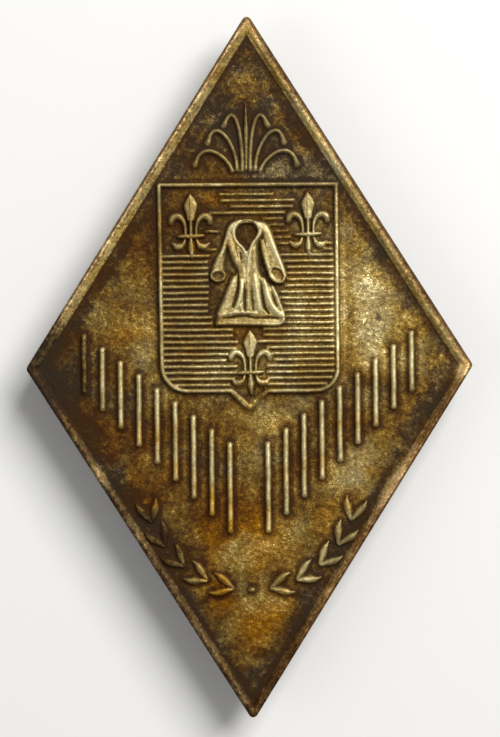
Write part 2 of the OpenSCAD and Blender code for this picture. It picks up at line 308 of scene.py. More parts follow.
# Robe: cloth that lies flat. Columns: shine, level, corners x, y. The shine paints light as well as wear: the right
# sleeve is painted lighter
ROBE_CLOTH = [
    # body and skirt
    (0.60, 0.26, [(0.00, 7.78), (-0.40, 7.70), (-0.80, 7.50), (-1.02, 7.20), (-1.08, 6.80), (-1.06, 6.30),
                  (-0.98, 5.95), (-0.84, 5.60), (-0.66, 5.30), (-0.55, 5.02), (-0.86, 4.84), (-1.00, 4.45),
                  (-1.12, 4.05), (-1.24, 3.70), (-1.42, 3.30), (-1.58, 2.95), (-1.68, 2.60), (-1.72, 2.34),
                  (-1.50, 2.26), (-0.80, 2.24), (0.00, 2.23), (0.80, 2.22), (1.50, 2.22), (1.82, 2.31),
                  (1.93, 2.60), (1.88, 2.96), (1.72, 3.40), (1.54, 3.85), (1.36, 4.22), (1.10, 4.52),
                  (0.84, 4.80), (0.70, 5.10), (0.64, 5.60), (0.62, 6.10), (0.64, 6.50), (0.84, 6.90),
                  (0.90, 7.40), (0.44, 7.68)]),
    # sleeves
    (0.60, 0.28, [(-0.86, 7.36), (-1.16, 6.88), (-1.34, 6.30), (-1.56, 5.85), (-1.76, 5.45), (-1.92, 5.10),
                  (-1.94, 4.80), (-1.74, 4.60), (-1.45, 4.56), (-1.18, 4.66), (-1.08, 4.95), (-1.10, 5.30),
                  (-1.06, 5.80), (-1.00, 6.20), (-0.78, 6.90)]),
    (0.64, 0.31, [(0.62, 7.52), (0.72, 7.00), (0.76, 6.50), (0.80, 6.00), (0.92, 5.50), (1.00, 5.05),
                  (1.16, 4.68), (1.42, 4.50), (1.82, 4.52), (2.00, 4.72), (1.93, 5.15), (1.77, 5.60),
                  (1.57, 6.20), (1.37, 6.80), (1.16, 7.26)]),
]

# Robe: raised folds. Each is its shine and a line of x, y, width, level. The shines paint broad highlights on the
# folds and light and shade across the robe, lighter on its right
ROBE_FOLDS = [
    # collar
    (0.65, [(-0.52, 7.54, 0.28, 0.33), (-0.26, 7.66, 0.23, 0.31), (0.02, 7.70, 0.22, 0.30), (0.32, 7.64, 0.25, 0.32),
            (0.56, 7.48, 0.34, 0.36)]),
    (1.15, [(-0.36, 7.64, 0.32, 0.34), (-0.62, 7.36, 0.39, 0.37), (-0.69, 6.98, 0.32, 0.38), (-0.57, 6.65, 0.29, 0.38),
            (-0.34, 6.39, 0.28, 0.38), (-0.15, 6.14, 0.25, 0.37), (-0.06, 5.88, 0.21, 0.35)]),
    (1.15, [(0.46, 7.56, 0.34, 0.34), (0.68, 7.25, 0.46, 0.38), (0.60, 6.92, 0.37, 0.38), (0.38, 6.62, 0.37, 0.38),
            (0.22, 6.30, 0.37, 0.38), (0.12, 5.90, 0.32, 0.37), (0.05, 5.45, 0.28, 0.34), (0.00, 5.05, 0.23, 0.28),
            (-0.02, 4.80, 0.16, 0.24)]),
    # shoulders and sleeves
    (1.10, [(-0.46, 7.58, 0.42, 0.32), (-0.76, 7.36, 0.55, 0.36), (-0.94, 7.06, 0.44, 0.34),
            (-1.04, 6.70, 0.31, 0.30)]),
    (0.85, [(-1.06, 6.75, 0.31, 0.30), (-1.24, 6.15, 0.39, 0.33), (-1.44, 5.75, 0.47, 0.34), (-1.60, 5.35, 0.52, 0.34),
            (-1.68, 5.10, 0.47, 0.32)]),
    (1.25, [(0.56, 7.50, 0.47, 0.36), (0.86, 7.32, 0.73, 0.41), (1.07, 7.02, 0.65, 0.42), (1.24, 6.60, 0.55, 0.42),
            (1.44, 6.10, 0.47, 0.42), (1.64, 5.60, 0.44, 0.41), (1.84, 5.10, 0.36, 0.40), (1.94, 4.78, 0.29, 0.38)]),
    (0.75, [(0.76, 6.60, 0.31, 0.33), (0.88, 6.00, 0.42, 0.35), (1.02, 5.45, 0.36, 0.34), (1.12, 5.10, 0.29, 0.33)]),
    # body
    (0.85, [(-0.90, 6.90, 0.48, 0.31), (-0.82, 6.40, 0.50, 0.32), (-0.64, 5.85, 0.42, 0.31),
            (-0.46, 5.40, 0.36, 0.29)]),
    (0.72, [(-0.50, 6.40, 0.34, 0.29), (-0.46, 5.95, 0.31, 0.30), (-0.40, 5.50, 0.28, 0.28)]),
    (0.66, [(0.36, 6.20, 0.34, 0.28), (0.36, 5.70, 0.36, 0.28), (0.34, 5.20, 0.42, 0.28)]),
    (0.75, [(-0.26, 5.40, 0.28, 0.24), (-0.22, 5.05, 0.39, 0.28), (-0.20, 4.70, 0.31, 0.27)]),
    # skirt
    (0.95, [(-0.66, 4.74, 0.30, 0.25), (-0.80, 4.35, 0.50, 0.32), (-0.98, 3.85, 0.56, 0.33), (-1.18, 3.35, 0.62, 0.32),
            (-1.38, 2.88, 0.65, 0.31)]),
    (1.15, [(-0.30, 4.62, 0.27, 0.28), (-0.30, 4.20, 0.41, 0.37), (-0.36, 3.80, 0.41, 0.38), (-0.47, 3.45, 0.37, 0.37),
            (-0.60, 3.15, 0.36, 0.34), (-0.76, 2.98, 0.33, 0.31)]),
    (0.95, [(-0.42, 3.50, 0.24, 0.32), (-0.34, 3.20, 0.33, 0.34), (-0.28, 3.00, 0.36, 0.32)]),
    (0.55, [(0.02, 4.60, 0.30, 0.26), (0.03, 4.00, 0.33, 0.33), (0.03, 3.50, 0.36, 0.33), (0.02, 3.02, 0.38, 0.32)]),
    (1.20, [(0.38, 4.82, 0.33, 0.28), (0.43, 4.40, 0.44, 0.37), (0.50, 3.90, 0.47, 0.39), (0.57, 3.45, 0.47, 0.38),
            (0.62, 3.08, 0.44, 0.36)]),
    (1.25, [(0.84, 4.62, 0.33, 0.30), (0.98, 4.15, 0.47, 0.40), (1.07, 3.70, 0.53, 0.42), (1.23, 3.34, 0.53, 0.42),
            (1.47, 3.02, 0.53, 0.42), (1.76, 2.76, 0.47, 0.39)]),
    (1.05, [(1.28, 4.25, 0.27, 0.32), (1.45, 3.88, 0.31, 0.36), (1.62, 3.42, 0.34, 0.37), (1.77, 3.00, 0.36, 0.37),
            (1.84, 2.70, 0.36, 0.38), (1.82, 2.46, 0.33, 0.36)]),
    # hem
    (0.95, [(-1.44, 2.78, 0.25, 0.30), (-1.00, 2.90, 0.28, 0.33), (-0.50, 2.96, 0.28, 0.34), (0.00, 2.94, 0.25, 0.33),
            (0.45, 2.90, 0.28, 0.33)]),
    (0.75, [(-1.56, 2.38, 0.28, 0.30), (-0.80, 2.40, 0.30, 0.31), (0.00, 2.38, 0.30, 0.30), (0.80, 2.36, 0.30, 0.32)]),
    (1.05, [(0.80, 2.36, 0.30, 0.32), (1.30, 2.34, 0.32, 0.36), (1.66, 2.38, 0.31, 0.37), (1.82, 2.54, 0.28, 0.37)]),
]

# Robe: rings round the cuffs. Columns: shine, x, y, half length, half width, turn in degrees, width, level. The shine
# paints light as well as wear, the right cuff lighter
CUFFS = [
    (0.60, -1.50, 4.85, 0.36, 0.27, 0, 0.20, 0.33),
    (0.90, 1.52, 4.88, 0.44, 0.30, -48, 0.26, 0.38),
]

# Robe: openings pressed down. Columns: shine, floor, corners x, y. The shine here is how dark the opening is painted:
# grime and painted shade
ROBE_OPENINGS = [
    (1.0, 0.0, [(0.00, 7.54), (-0.28, 7.49), (-0.48, 7.28), (-0.56, 7.03), (-0.52, 6.77), (-0.36, 6.52), (-0.16, 6.34),
                (-0.03, 6.14), (0.08, 6.30), (0.20, 6.54), (0.38, 6.77), (0.50, 6.98), (0.53, 7.22), (0.41, 7.43),
                (0.20, 7.53)]),
]

# Robe: openings of the cuffs. Columns: grime and painted shade, x, y, half length, half width, turn in degrees, floor
CUFF_HOLES = [
    (0.50, -1.50, 4.86, 0.24, 0.15, 0, 0.16),
    (0.15, 1.56, 4.94, 0.32, 0.20, -48, 0.22),
]

# Robe: grooves pressed down between the folds, darkened with grime and painted shade. Each is how dark it is and a
# line of x, y, width, floor
ROBE_GROOVES = [
    (0.70, [(-1.00, 6.30, 0.08, 0.10), (-0.97, 5.90, 0.20, 0.02), (-0.92, 5.50, 0.34, 0.00), (-0.86, 5.15, 0.44, 0.00),
           (-0.90, 4.94, 0.40, 0.00), (-1.06, 4.66, 0.24, 0.00)]),
    (0.55, [(0.64, 6.78, 0.05, 0.24), (0.65, 6.50, 0.12, 0.12), (0.68, 6.10, 0.22, 0.06), (0.76, 5.60, 0.30, 0.03),
           (0.86, 5.15, 0.26, 0.01), (1.02, 4.76, 0.20, 0.00), (1.28, 4.44, 0.14, 0.00)]),
    (0.45, [(-0.36, 6.05, 0.06, 0.20), (-0.30, 5.80, 0.12, 0.16), (-0.27, 5.52, 0.08, 0.20)]),
    (0.50, [(-0.48, 5.05, 0.10, 0.12), (-0.46, 4.60, 0.14, 0.06), (-0.50, 4.15, 0.18, 0.05), (-0.62, 3.65, 0.22, 0.05),
           (-0.76, 3.25, 0.16, 0.12)]),
    (0.50, [(-0.14, 4.40, 0.06, 0.22), (-0.15, 3.90, 0.15, 0.10), (-0.15, 3.50, 0.16, 0.08),
           (-0.14, 3.10, 0.15, 0.12)]),
    (0.38, [(0.20, 4.30, 0.05, 0.24), (0.23, 3.80, 0.14, 0.12), (0.26, 3.40, 0.15, 0.12), (0.28, 3.08, 0.12, 0.16)]),
    (0.55, [(0.70, 4.50, 0.07, 0.20), (0.74, 4.00, 0.14, 0.10), (0.80, 3.55, 0.18, 0.07), (0.90, 3.15, 0.18, 0.10),
           (1.08, 2.90, 0.14, 0.16)]),
    (0.40, [(1.24, 4.00, 0.06, 0.22), (1.36, 3.60, 0.12, 0.14), (1.50, 3.25, 0.07, 0.20)]),
    (0.50, [(-1.30, 2.66, 0.08, 0.20), (-0.90, 2.70, 0.15, 0.12), (-0.40, 2.77, 0.17, 0.10), (0.00, 2.76, 0.17, 0.10),
           (0.30, 2.68, 0.13, 0.14), (0.70, 2.66, 0.14, 0.16), (1.20, 2.68, 0.17, 0.12), (1.58, 2.62, 0.11, 0.18)]),
]

# Lily: its upper petal. Columns: level, corners x, y from the middle of the band
LILY_PETAL = (0.24, [(-0.04, 2.22), (-0.18, 1.96), (-0.33, 1.66), (-0.34, 1.46), (-0.24, 1.14), (-0.15, 0.80),
                     (0.15, 0.80), (0.24, 1.14), (0.34, 1.46), (0.34, 1.66), (0.19, 1.96)])

# Lily: its lines, each of x, y, width, level. The mirrored ones are drawn on both sides
LILY_LINES = [
    (False, [(-0.03, 2.12, 0.08, 0.22), (0.0, 1.70, 0.20, 0.29), (0.0, 1.20, 0.22, 0.29), (0.0, 0.70, 0.24, 0.28),
             (0.0, 0.05, 0.26, 0.28)]),
    (True, [(0.27, 0.06, 0.22, 0.22), (0.29, 0.50, 0.24, 0.23), (0.39, 0.82, 0.34, 0.25), (0.57, 1.01, 0.46, 0.26),
            (0.79, 1.04, 0.52, 0.26), (0.96, 0.91, 0.52, 0.26), (1.00, 0.74, 0.38, 0.23)]),
    (False, [(-0.62, 0.0, 0.22, 0.23), (-0.35, 0.0, 0.33, 0.26), (0.0, 0.0, 0.34, 0.28), (0.35, 0.02, 0.34, 0.27),
             (0.64, 0.04, 0.22, 0.23)]),
    (False, [(0.0, -0.12, 0.24, 0.24), (0.0, -0.35, 0.38, 0.27), (0.02, -0.60, 0.50, 0.28), (0.03, -0.85, 0.36, 0.26),
             (0.06, -1.15, 0.08, 0.16)]),
    (True, [(0.31, -0.20, 0.18, 0.19), (0.41, -0.42, 0.36, 0.23), (0.58, -0.52, 0.54, 0.25), (0.76, -0.50, 0.46, 0.23),
            (0.94, -0.36, 0.16, 0.16)]),
]

# Lilies. Columns: x, y of the middle of the band
LILIES = [(-2.90, 6.85), (3.13, 6.91), (0.10, -0.18)]

# Where the shield's line is worn down. Columns: x, y, reach, share of the level that is lost, growth of the width
SHIELD_WORN = [
    (0.44, -1.60, 0.62, 0.85, 0.20), (-0.42, -1.50, 0.60, 0.10, 0.40), (-4.50, 6.40, 0.90, 0.30, 0.0),
    (-2.40, 9.54, 1.20, 0.25, 0.0),
]

# How far the hatching reaches to each side
HATCH_LEFT, HATCH_RIGHT = 4.33, 4.36

# Level lines of the hatching. Columns: first row, last row, end of the left line, start of the right line
HATCH_BREAKS = [
    (10, 10, -2.00, 1.75), (11, 11, -2.10, 1.90), (12, 14, -2.08, 2.08), (15, 15, -2.05, 2.00),
    (16, 17, -2.08, 1.72), (18, 19, -2.12, 1.92), (20, 21, -1.90, 2.02), (22, 23, -0.84, 0.88),
    (24, 24, -0.58, 0.58), (25, 25, -0.62, 1.02), (26, 26, -1.10, 1.30), (27, 27, -1.20, 1.40),
    (28, 29, -0.62, 1.02), (30, 30, -0.75, 1.05), (31, 31, -1.02, 1.05),
]

# Short lines beside the upper lilies. Columns: row, left end, right end, share of the line that is left. Those
# with less than WORN left are struck apart, as worn hatching
WORN = 0.8
HATCH_SHORT = [
    (0, -1.35, 1.30, 0.70), (1, -1.30, 2.38, 0.90), (2, -0.80, 2.30, 0.90), (3, -1.85, 1.90, 0.85),
    (4, 0.85, 1.80, 0.55), (5, 1.15, 1.85, 0.35), (6, -2.10, -1.50, 0.45), (6, 1.20, 2.05, 0.35),
    (7, 1.35, 2.20, 0.35), (8, 1.50, 2.35, 0.35), (8, 3.75, 4.30, 0.45), (9, -2.25, -1.65, 0.40),
    (9, 3.95, 4.30, 0.50),
]

# Fronds of the upper ornament: foot, two steering points and tip, mirrored
FRONDS = [
    [(0.20, 10.30), (0.18, 12.50), (0.62, 13.95), (1.12, 12.60)],
    [(0.46, 10.30), (0.52, 11.90), (1.70, 13.10), (1.96, 11.70)],
    [(0.72, 10.25), (1.00, 11.10), (2.30, 11.90), (2.62, 10.60)],
]

# The reeds: how far the first stands from the middle. Height of their tops and their length, each as a start and
# what it gains for each millimetre from the middle
FIRST_REED, REED_TOP, REED_TALL = 0.98, (-4.60, 0.76), (4.60, -0.21)

# The garland: radius and middle of its arc, pairs of leaves on each side and the turn from pair to pair
GARLAND_ARC, GARLAND_Y, PAIRS, PAIR_TURN = 5.45, -5.86, 5, math.radians(77 / 5.2)

# One leaf of the garland: x, y, width, level
LEAF = [(-0.42, 0.05, 0.20, 0.14), (-0.13, 0.18, 0.42, 0.18), (0.16, 0.34, 0.54, 0.20), (0.42, 0.46, 0.40, 0.18),
        (0.70, 0.52, 0.09, 0.12)]


def smooth_line(points, grain):
    """Points at an even grain along a smooth line through the given ones."""
    p = np.array(points, float)
    if len(p) == 2:
        steps = max(2, int(math.ceil(np.linalg.norm(p[1, :2] - p[0, :2]) / grain)))
        t = np.linspace(0, 1, steps + 1)[:, None]
        return p[0] * (1 - t) + p[1] * t
    p = np.vstack([2 * p[0] - p[1], p, 2 * p[-1] - p[-2]])
    made = [p[1][None]]
    for a, b, c, d in zip(p[:-3], p[1:-2], p[2:-1], p[3:]):
        steps = max(2, int(math.ceil(np.linalg.norm(c[:2] - b[:2]) / grain)))
        t = np.linspace(0, 1, steps + 1)[1:, None]
        made.append(
            0.5 * (2 * b + (c - a) * t + (2 * a - 5 * b + 4 * c - d) * t**2 + (3 * b - a - 3 * c + d) * t**3)
        )
    return np.vstack(made)


def ring(x, y, a, b, turn):
    """Points round an oval."""
    t = np.linspace(0, 2 * math.pi, 28, endpoint=False)
    c, s = math.cos(math.radians(turn)), math.sin(math.radians(turn))
    u, v = a * np.cos(t), b * np.sin(t)
    return np.column_stack([x + u * c - v * s, y + u * s + v * c])


class Drawing:
    """Lines and areas of one part of the relief, in layers that are struck one after another."""

    def __init__(self, name, grain):
        self.name = name
        self.grain = grain
        self.points, self.edges, self.faces = [], [], []
        self.marks = {"half": [], "level": [], "edge": [], "shine": [], "layer": [], "press": []}
        self.layers = 0

    def _keep(self, points, half, level, edge, press, closed, shine):
        first = len(self.points)
        n = len(points)
        self.points += [(x * MM, y * MM, 0.0) for x, y in points[:, :2]]
        self.edges += [(first + i, first + i + 1) for i in range(n - 1)]
        if closed:
            self.edges.append((first + n - 1, first))
        for key, value in zip(("half", "level", "edge"), (half, level, edge)):
            self.marks[key] += list(np.broadcast_to(np.asarray(value, float) * MM, (n,)))
        self.marks["shine"] += [shine] * n
        self.marks["layer"] += [self.layers] * n
        self.marks["press"] += [press] * n
        return first, n

    def line(self, points, press=0, shoulder=0.36, shine=1.0, new=True, straight=False):
        """A line of x, y, width, level. The shoulder is a share of the width. The next line starts a new layer
        if this one is new."""
        p = np.array(points, float) if straight else smooth_line(points, self.grain)
        edge = p[:, 2] * shoulder
        self._keep(p, p[:, 2] / 2, p[:, 3], edge, press, False, shine)
        self.layers += new

    def loop(self, points, width, level, shine=1.0):
        """A closed line."""
        self._keep(np.array(points), width / 2, level, width * 0.34, 0, True, shine)
        self.layers += 1

    def area(self, points, level, shoulder, press=0, shine=1.0):
        """A filled outline with sloping shoulders."""
        p = np.array([*points, points[0]], float)
        p = smooth_line(np.column_stack([p, np.zeros((len(p), 2))]), self.grain)[:-1, :2]
        first, n = self._keep(p, 0.05, level, shoulder, press, True, shine)
        self.faces.append(list(range(first, first + n)))
        self.layers += 1

    def made(self):
        """The drawing as an object whose points carry its widths and levels."""
        mesh = bpy.data.meshes.new(self.name)
        mesh.from_pydata(self.points, self.edges, self.faces)
        for key, values in self.marks.items():
            whole = key in ("layer", "press")
            mark = mesh.attributes.new(key, "INT" if whole else "FLOAT", "POINT")
            mark.data.foreach_set("value", np.array(values, np.int32 if whole else np.float32))
        return placed(self.name, mesh)


def places(name, rows):
    """Points where a drawing is repeated. Columns: x, y, turn in radians, growth across, growth along."""
    rows = np.array(rows, float)
    mesh = bpy.data.meshes.new(name)
    mesh.from_pydata([(x * MM, y * MM, 0) for x, y in rows[:, :2]], [], [])
    for key, column in (("turn", 2), ("across", 3), ("along", 4)):
        mark = mesh.attributes.new(key, "FLOAT", "POINT")
        mark.data.foreach_set("value", rows[:, column].astype(np.float32))
    return placed(name, mesh)


def repeat_recipe():
    """Repeats a drawing at each point, turned and grown as the point says."""
    r = Recipe("Repeat a drawing", thing="Drawing")
    shape = r.shape_of("Drawing")
    turn = r.add("ShaderNodeCombineXYZ", {}, {"Z": r.named("turn")})
    grow = r.add("ShaderNodeCombineXYZ", {}, {"X": r.named("across"), "Y": r.named("along"), "Z": 1.0})
    copies = r.add(
        "GeometryNodeInstanceOnPoints",
        {},
        {"Points": r.given("Geometry"), "Instance": shape, "Rotation": turn, "Scale": grow},
    )
    return r.close(copies)


def grain_recipe():
    """Divides drawn lines to an even grain, and lets them sway a little as lines cut by hand do."""
    r = Recipe("Divide lines", "Grain", "Sway")
    line = r.add("GeometryNodeMeshToCurve", {}, {"Mesh": r.given("Geometry")})
    fine = r.add("GeometryNodeResampleCurve", {"mode": "LENGTH"}, {"Curve": line, "Length": r.given("Grain")})
    cut = r.add("GeometryNodeCurveToMesh", {}, {"Curve": fine})
    flat = r.level_place()
    sway = (r.noise(flat * TO_MM, 0.8, 2.0).of("Color") - 0.5) * r.given("Sway") * (4.0, 4.0, 0.0)
    return r.close(r.add("GeometryNodeSetPosition", {}, {"Geometry": cut, "Offset": sway}))


def strike_recipe():
    """Lifts the blank to a drawing, layer by layer, and marks the crests and the hollows beside them."""
    r = Recipe("Strike a drawing", "Blend", "Halo", "Wear", "Shine", "Bare", thing="Drawing", count="Layers")
    flat = r.level_place()
    turn_in = r.tree.nodes.new("GeometryNodeRepeatInput")
    turn_out = r.tree.nodes.new("GeometryNodeRepeatOutput")
    turn_in.pair_with_output(turn_out)
    r.feed(turn_in.inputs["Iterations"], r.given("Layers"))
    r.feed(turn_in.inputs["Geometry"], r.given("Geometry"))
    sheet = Wire(r, turn_in.outputs["Geometry"])
    layer = Wire(r, turn_in.outputs["Iteration"])

    drawing = r.shape_of("Drawing")
    same = r.add(
        "FunctionNodeCompare", {"data_type": "INT", "operation": "EQUAL"}, {2: r.named("layer", "INT"), 3: layer}
    )
    part = r.add("GeometryNodeSeparateGeometry", {"domain": "POINT"}, {"Geometry": drawing, "Selection": same})
    near, within = r.away(part, "EDGES", flat), r.away(part, "FACES", flat)
    index = r.add(
        "GeometryNodeSampleNearest", {"domain": "POINT"}, {"Geometry": part, "Sample Position": near.of("Position")}
    )

    def there(label, kind="FLOAT"):
        return r.add(
            "GeometryNodeSampleIndex",
            {"data_type": kind, "domain": "POINT"},
            {"Geometry": part, "Value": r.named(label, kind), "Index": index},
        )

    filled = r.add("GeometryNodeSwitch", {"input_type": "FLOAT"}, {0: within.of("Is Valid"), 1: 1.0, 2: within})
    outward = filled.ramp(0.0, 1e-5, -1.0, 1.0)
    # Depth inside the edge of the line or area, negative outside it
    depth = there("half") - near * outward
    share = depth.rise(0.0, there("edge"))
    rub = r.noise(flat * TO_MM, 0.9, 2.0).ramp(0.3, 0.7, 1.0, 0.0) * r.given("Wear")
    level = there("level") * (1.0 - rub)
    press = there("press", "INT")

    before = r.named("lift")
    lifted = level * share
    blend = r.given("Blend").least(before.least(lifted))
    raised = before.soft_most(lifted, blend)
    pressed = before.least(before + (level - before) * share)
    lift = raised + (pressed - raised) * press
    shine, bare = there("shine"), r.given("Bare")
    top = share.rise(bare, bare + 0.6) * r.given("Shine") * shine * (1.0 - rub * 1.5).most(0.0)
    crest = r.named("crest").most(top * (1.0 - press)) * (1.0 - share * press)
    # Grime and painted shade gather beside a line only where it stands well over what it lies on
    drop = ((level - before) / level.most(1e-6)).rise(0.35, 0.95)
    beside = depth.rise(r.given("Halo") * -1.0, 0.0) * (1.0 - share) * drop * level.rise(0.0, 0.00012)
    hollow = r.named("hollow") * (1.0 - share * (1.0 - press))
    # Pressed parts are darkened as far as their shine says: grime in the shield's field, grime and painted shade in
    # the robe's grooves and openings
    hollow = hollow.most(beside * (1.0 - press)).most(share * press * shine)

    sheet = r.keep(sheet, "next_lift", lift)
    sheet = r.keep(sheet, "next_crest", crest)
    sheet = r.keep(sheet, "next_hollow", hollow)
    for label in ("lift", "crest", "hollow"):
        sheet = r.keep(sheet, label, r.named("next_" + label))
    r.feed(turn_out.inputs["Geometry"], sheet)
    return r.close(Wire(r, turn_out.outputs["Geometry"]))


def side_width(across, up):
    """Share of the rim's width on each side. The upper ones are wider."""
    return 0.80 + up.rise(-0.5, 0.5) * (0.18 + across.rise(-0.5, 0.5) * 0.08)


def rolled_side(across, up):
    """Is 1 on the upper right side, where the rim is rolled over the most."""
    return across.rise(-0.5, 0.5) * up.rise(-0.5, 0.5)


def rim_recipe():
    """Raises the rim along the outline, gives the ground its slight waves and moves the face up."""
    r = Recipe("Raise the rim", "Rise", "Crest", "Width", "Round", "Waves", thing="Outline")
    flat = r.level_place()
    inset = r.away(r.shape_of("Outline"), "EDGES", flat)
    where = flat * TO_MM
    slow = r.noise(where, 0.35, 1.0).ramp(0.3, 0.7, -1.0, 1.0)
    quick = r.noise(where, 1.6, 3.0).ramp(0.3, 0.7, -1.0, 1.0)
    across, up = where.part("X"), where.part("Y")
    rolled = rolled_side(across, up)
    width = r.given("Width") * (side_width(across, up) + slow * 0.07 + quick * 0.05)
    slope = 1.0 - inset.rise(r.given("Crest") * (rolled * 0.75 + 1.0), width)
    # Small dents along the crest
    dents = r.noise(where + (7.0, 3.0, 0.0), 2.2, 2.0).ramp(0.62, 0.76, 0.0, 1.0)
    rise = r.given("Rise") * (1.0 - dents * 0.16 - quick.most(0.0) * 0.06)
    edge = (1.0 - inset / (r.given("Round") * (rolled * 3.0 + 1.0))).most(0.0)
    rim = rise * slope - edge * edge * r.given("Round") * (rolled * 0.9 + 1.0)
    ground = (slow + quick * 0.5) * r.given("Waves") * (1.0 - slope)
    lift = r.named("lift").most(rim) + ground
    # Grime and painted shade at the inner foot of the rim
    foot = inset.rise(width * 0.55, width) * (1.0 - inset.rise(width, width * 1.9))
    hollow = r.named("hollow").most(foot * (1.0 - r.named("crest")) * 0.55)
    sheet = r.keep(r.given("Geometry"), "lift", lift)
    sheet = r.keep(sheet, "hollow", hollow)
    sheet = r.keep(sheet, "inset", inset * TO_MM)
    move = r.add("ShaderNodeCombineXYZ", {}, {"Z": r.named("lift") * r.named("front")})
    return r.close(r.add("GeometryNodeSetPosition", {}, {"Geometry": sheet, "Offset": move}))


# ---- Sizes and colours that a user would change ----


def length(label, value, about):
    """A length in millimetres, kept in metres."""
    return FloatProperty(
        name=label, description=about, default=value * MM, min=0.0, soft_max=0.05, subtype="DISTANCE", precision=5
    )


def colour(label, value, about):
    """A plain colour."""
    return FloatVectorProperty(
        name=label, description=about, default=value, min=0.0, max=1.0, size=3, subtype="COLOR"
    )


def power(label, value, about):
    """The strength of a light."""
    return FloatProperty(name=label, description=about, default=value, min=0.0)


LOW, HIGH = (np.array(c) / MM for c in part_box("badge_plate"))


class BadgeShape(bpy.types.PropertyGroup):
    """Sizes of the blank and its rim."""

    tall: length("Height", HIGH[1] - LOW[1], "Height of the lozenge, corner to corner")
    wide: length("Width", HIGH[0] - LOW[0], "Width of the lozenge, corner to corner")
    back: length("Back", LOW[2], "Height of the back over the resting surface")
    plate: length("Plate", 0.95, "Thickness from the back to the sunk ground")
    corner: length("Corner radius", 0.25, "Radius that rounds each corner")
    rim_rise: length("Rim rise", 0.36, "Height of the rim over the ground")
    rim_crest: length("Rim crest", 0.16, "Distance from the edge over which the rim stays high")
    rim_width: length("Rim width", 0.60, "Distance from the edge to the foot of the rim")
    rim_round: length("Rim rounding", 0.10, "Rounding of the outer edge")
    bevel: length("Back bevel", 0.12, "Bevel round the back")
    waves: length("Waves", 0.012, "Height of the slight waves in the ground")


class BadgeRelief(bpy.types.PropertyGroup):
    """Sizes of the drawn lines."""

    grain: length("Grain", 0.085, "Distance between the points of a drawn line")
    shield_line: length("Shield line", 0.32, "Width of the shield's line")
    hatch_line: length("Hatching line", 0.270, "Width of a line of hatching")
    hatch_top: length("Hatching top", 9.04, "Height of the top line of hatching")
    hatch_pitch: length("Hatching pitch", 0.3165, "Distance from line to line")
    reed_line: length("Reed", 0.41, "Width of an upright reed")
    reed_step: length("Reed step", 0.93, "Distance from reed to reed")
    reeds: IntProperty(name="Reeds", description="Reeds on each side", default=9, min=1, max=9)
    spray_line: length("Frond", 0.31, "Width of a frond")
    sway: length("Sway", 0.015, "How far the straight lines sway")
    # The halo is the reach of the grime and painted shade beside a line
    halo: length("Halo", 0.24, "Reach of the grime beside a line")
    wear: FloatProperty(
        name="Wear", description="How much the lines are rubbed down in places", default=0.22, min=0.0, max=1.0,
        subtype="FACTOR"
    )


class BadgeFinish(bpy.types.PropertyGroup):
    """Colours of the metal."""

    # The darkest tone: tarnish, and in the deepest hollows painted shade as well
    grime_and_shade: colour("Grime", (0.021, 0.008, 0.001), "Black-brown tarnish in the hollows")
    dark: colour("Dark brass", (0.046, 0.022, 0.003), "Brown tarnish on the ground")
    brown: colour("Brown brass", (0.100, 0.059, 0.011), "Brass where the tarnish is thin")
    gold: colour("Gold brass", (0.195, 0.130, 0.032), "Brass that is only dulled")
    pale: colour("Pale brass", (0.310, 0.245, 0.112), "Brass that is lightly rubbed")
    bright: colour("Bright brass", (0.500, 0.440, 0.240), "Brass that is rubbed bare")
    metal_dark: colour("Dark relief", (0.046, 0.028, 0.009), "Dull metal of the relief and the rim")
    metal_mid: colour("Worn relief", (0.185, 0.138, 0.058), "Half worn metal of the relief and the rim")
    metal_light: colour("Bare relief", (0.505, 0.440, 0.240), "Bare metal of the relief and the rim")
    # Only the rim reaches this colour, mostly on its upper slopes, which are partly painted light
    metal_bright: colour("Polished relief", (0.840, 0.740, 0.440), "Metal where the rim is polished")
    warm: colour("Warm tint", (1.000, 0.675, 0.140), "What orange-brown tarnish lets through")
    # The cool darkest tone: tarnish, and in the deepest hollows painted shade as well
    cool_grime_and_shade: colour("Cool grime", (0.015, 0.009, 0.004), "Grey-black tarnish in the hollows")
    cool_dark: colour("Cool dark", (0.038, 0.025, 0.011), "Dark grey-green tarnish")
    cool_mid: colour("Cool middle", (0.184, 0.138, 0.057), "Brass under thin grey-green tarnish")
    # The rim tint is partly what clings to the rim and partly a painted reddish reflection
    rim: colour("Rim tint", (1.000, 0.770, 0.620), "What clings to the rim")
    slope: colour("Slope tint", (0.970, 1.000, 0.600), "What clings to the inner slope of the rim")


class BadgeStudio(bpy.types.PropertyGroup):
    """The view and the light."""

    frame_tall: length("Framed height", 37.80, "Height of the picture at the badge")
    lens: FloatProperty(name="Lens", description="Focal length in millimetres", default=100.0, min=20.0)
    tilt: FloatProperty(
        name="Tilt", description="Lean of the view from straight above", default=math.radians(1.0), subtype="ANGLE"
    )
    key: power("Key light", 1.6, "Power of the main soft light")
    fill: power("Fill light", 0.25, "Power of the filling light")
    sky: power("Sky", 0.45, "Strength of the light from all round")
    floor: colour("Floor", (0.42, 0.415, 0.40), "Colour of the floor")


# ---- The blank ----

# Steps of the points along the sides of the outline and round its corners
SIDE_STEP, CORNER_STEP = 0.12, 0.06

# Rows of points inside the edge, as distances from it
RIM_ROWS = (0.03, 0.065, 0.105, 0.15, 0.20, 0.26, 0.32, 0.38, 0.44, 0.50, 0.56, 0.63, 0.71, 0.82, 0.98, 1.18)

# Rows of points beside a drawn line, as shares of its half width, and the gaps to the rows in its halo
LINE_ROWS = (0.30, 0.58, 0.82, 1.04)
HALO_GAPS = (0.10, 0.24)

# Radii of the fans of points round an open end, as shares of the half width
FAN_ROWS = (0.5, 1.0, 1.5)

# Cells in which only one point is kept: on lines, in their halos
LINE_CELL, HALO_CELL = 0.034, 0.085

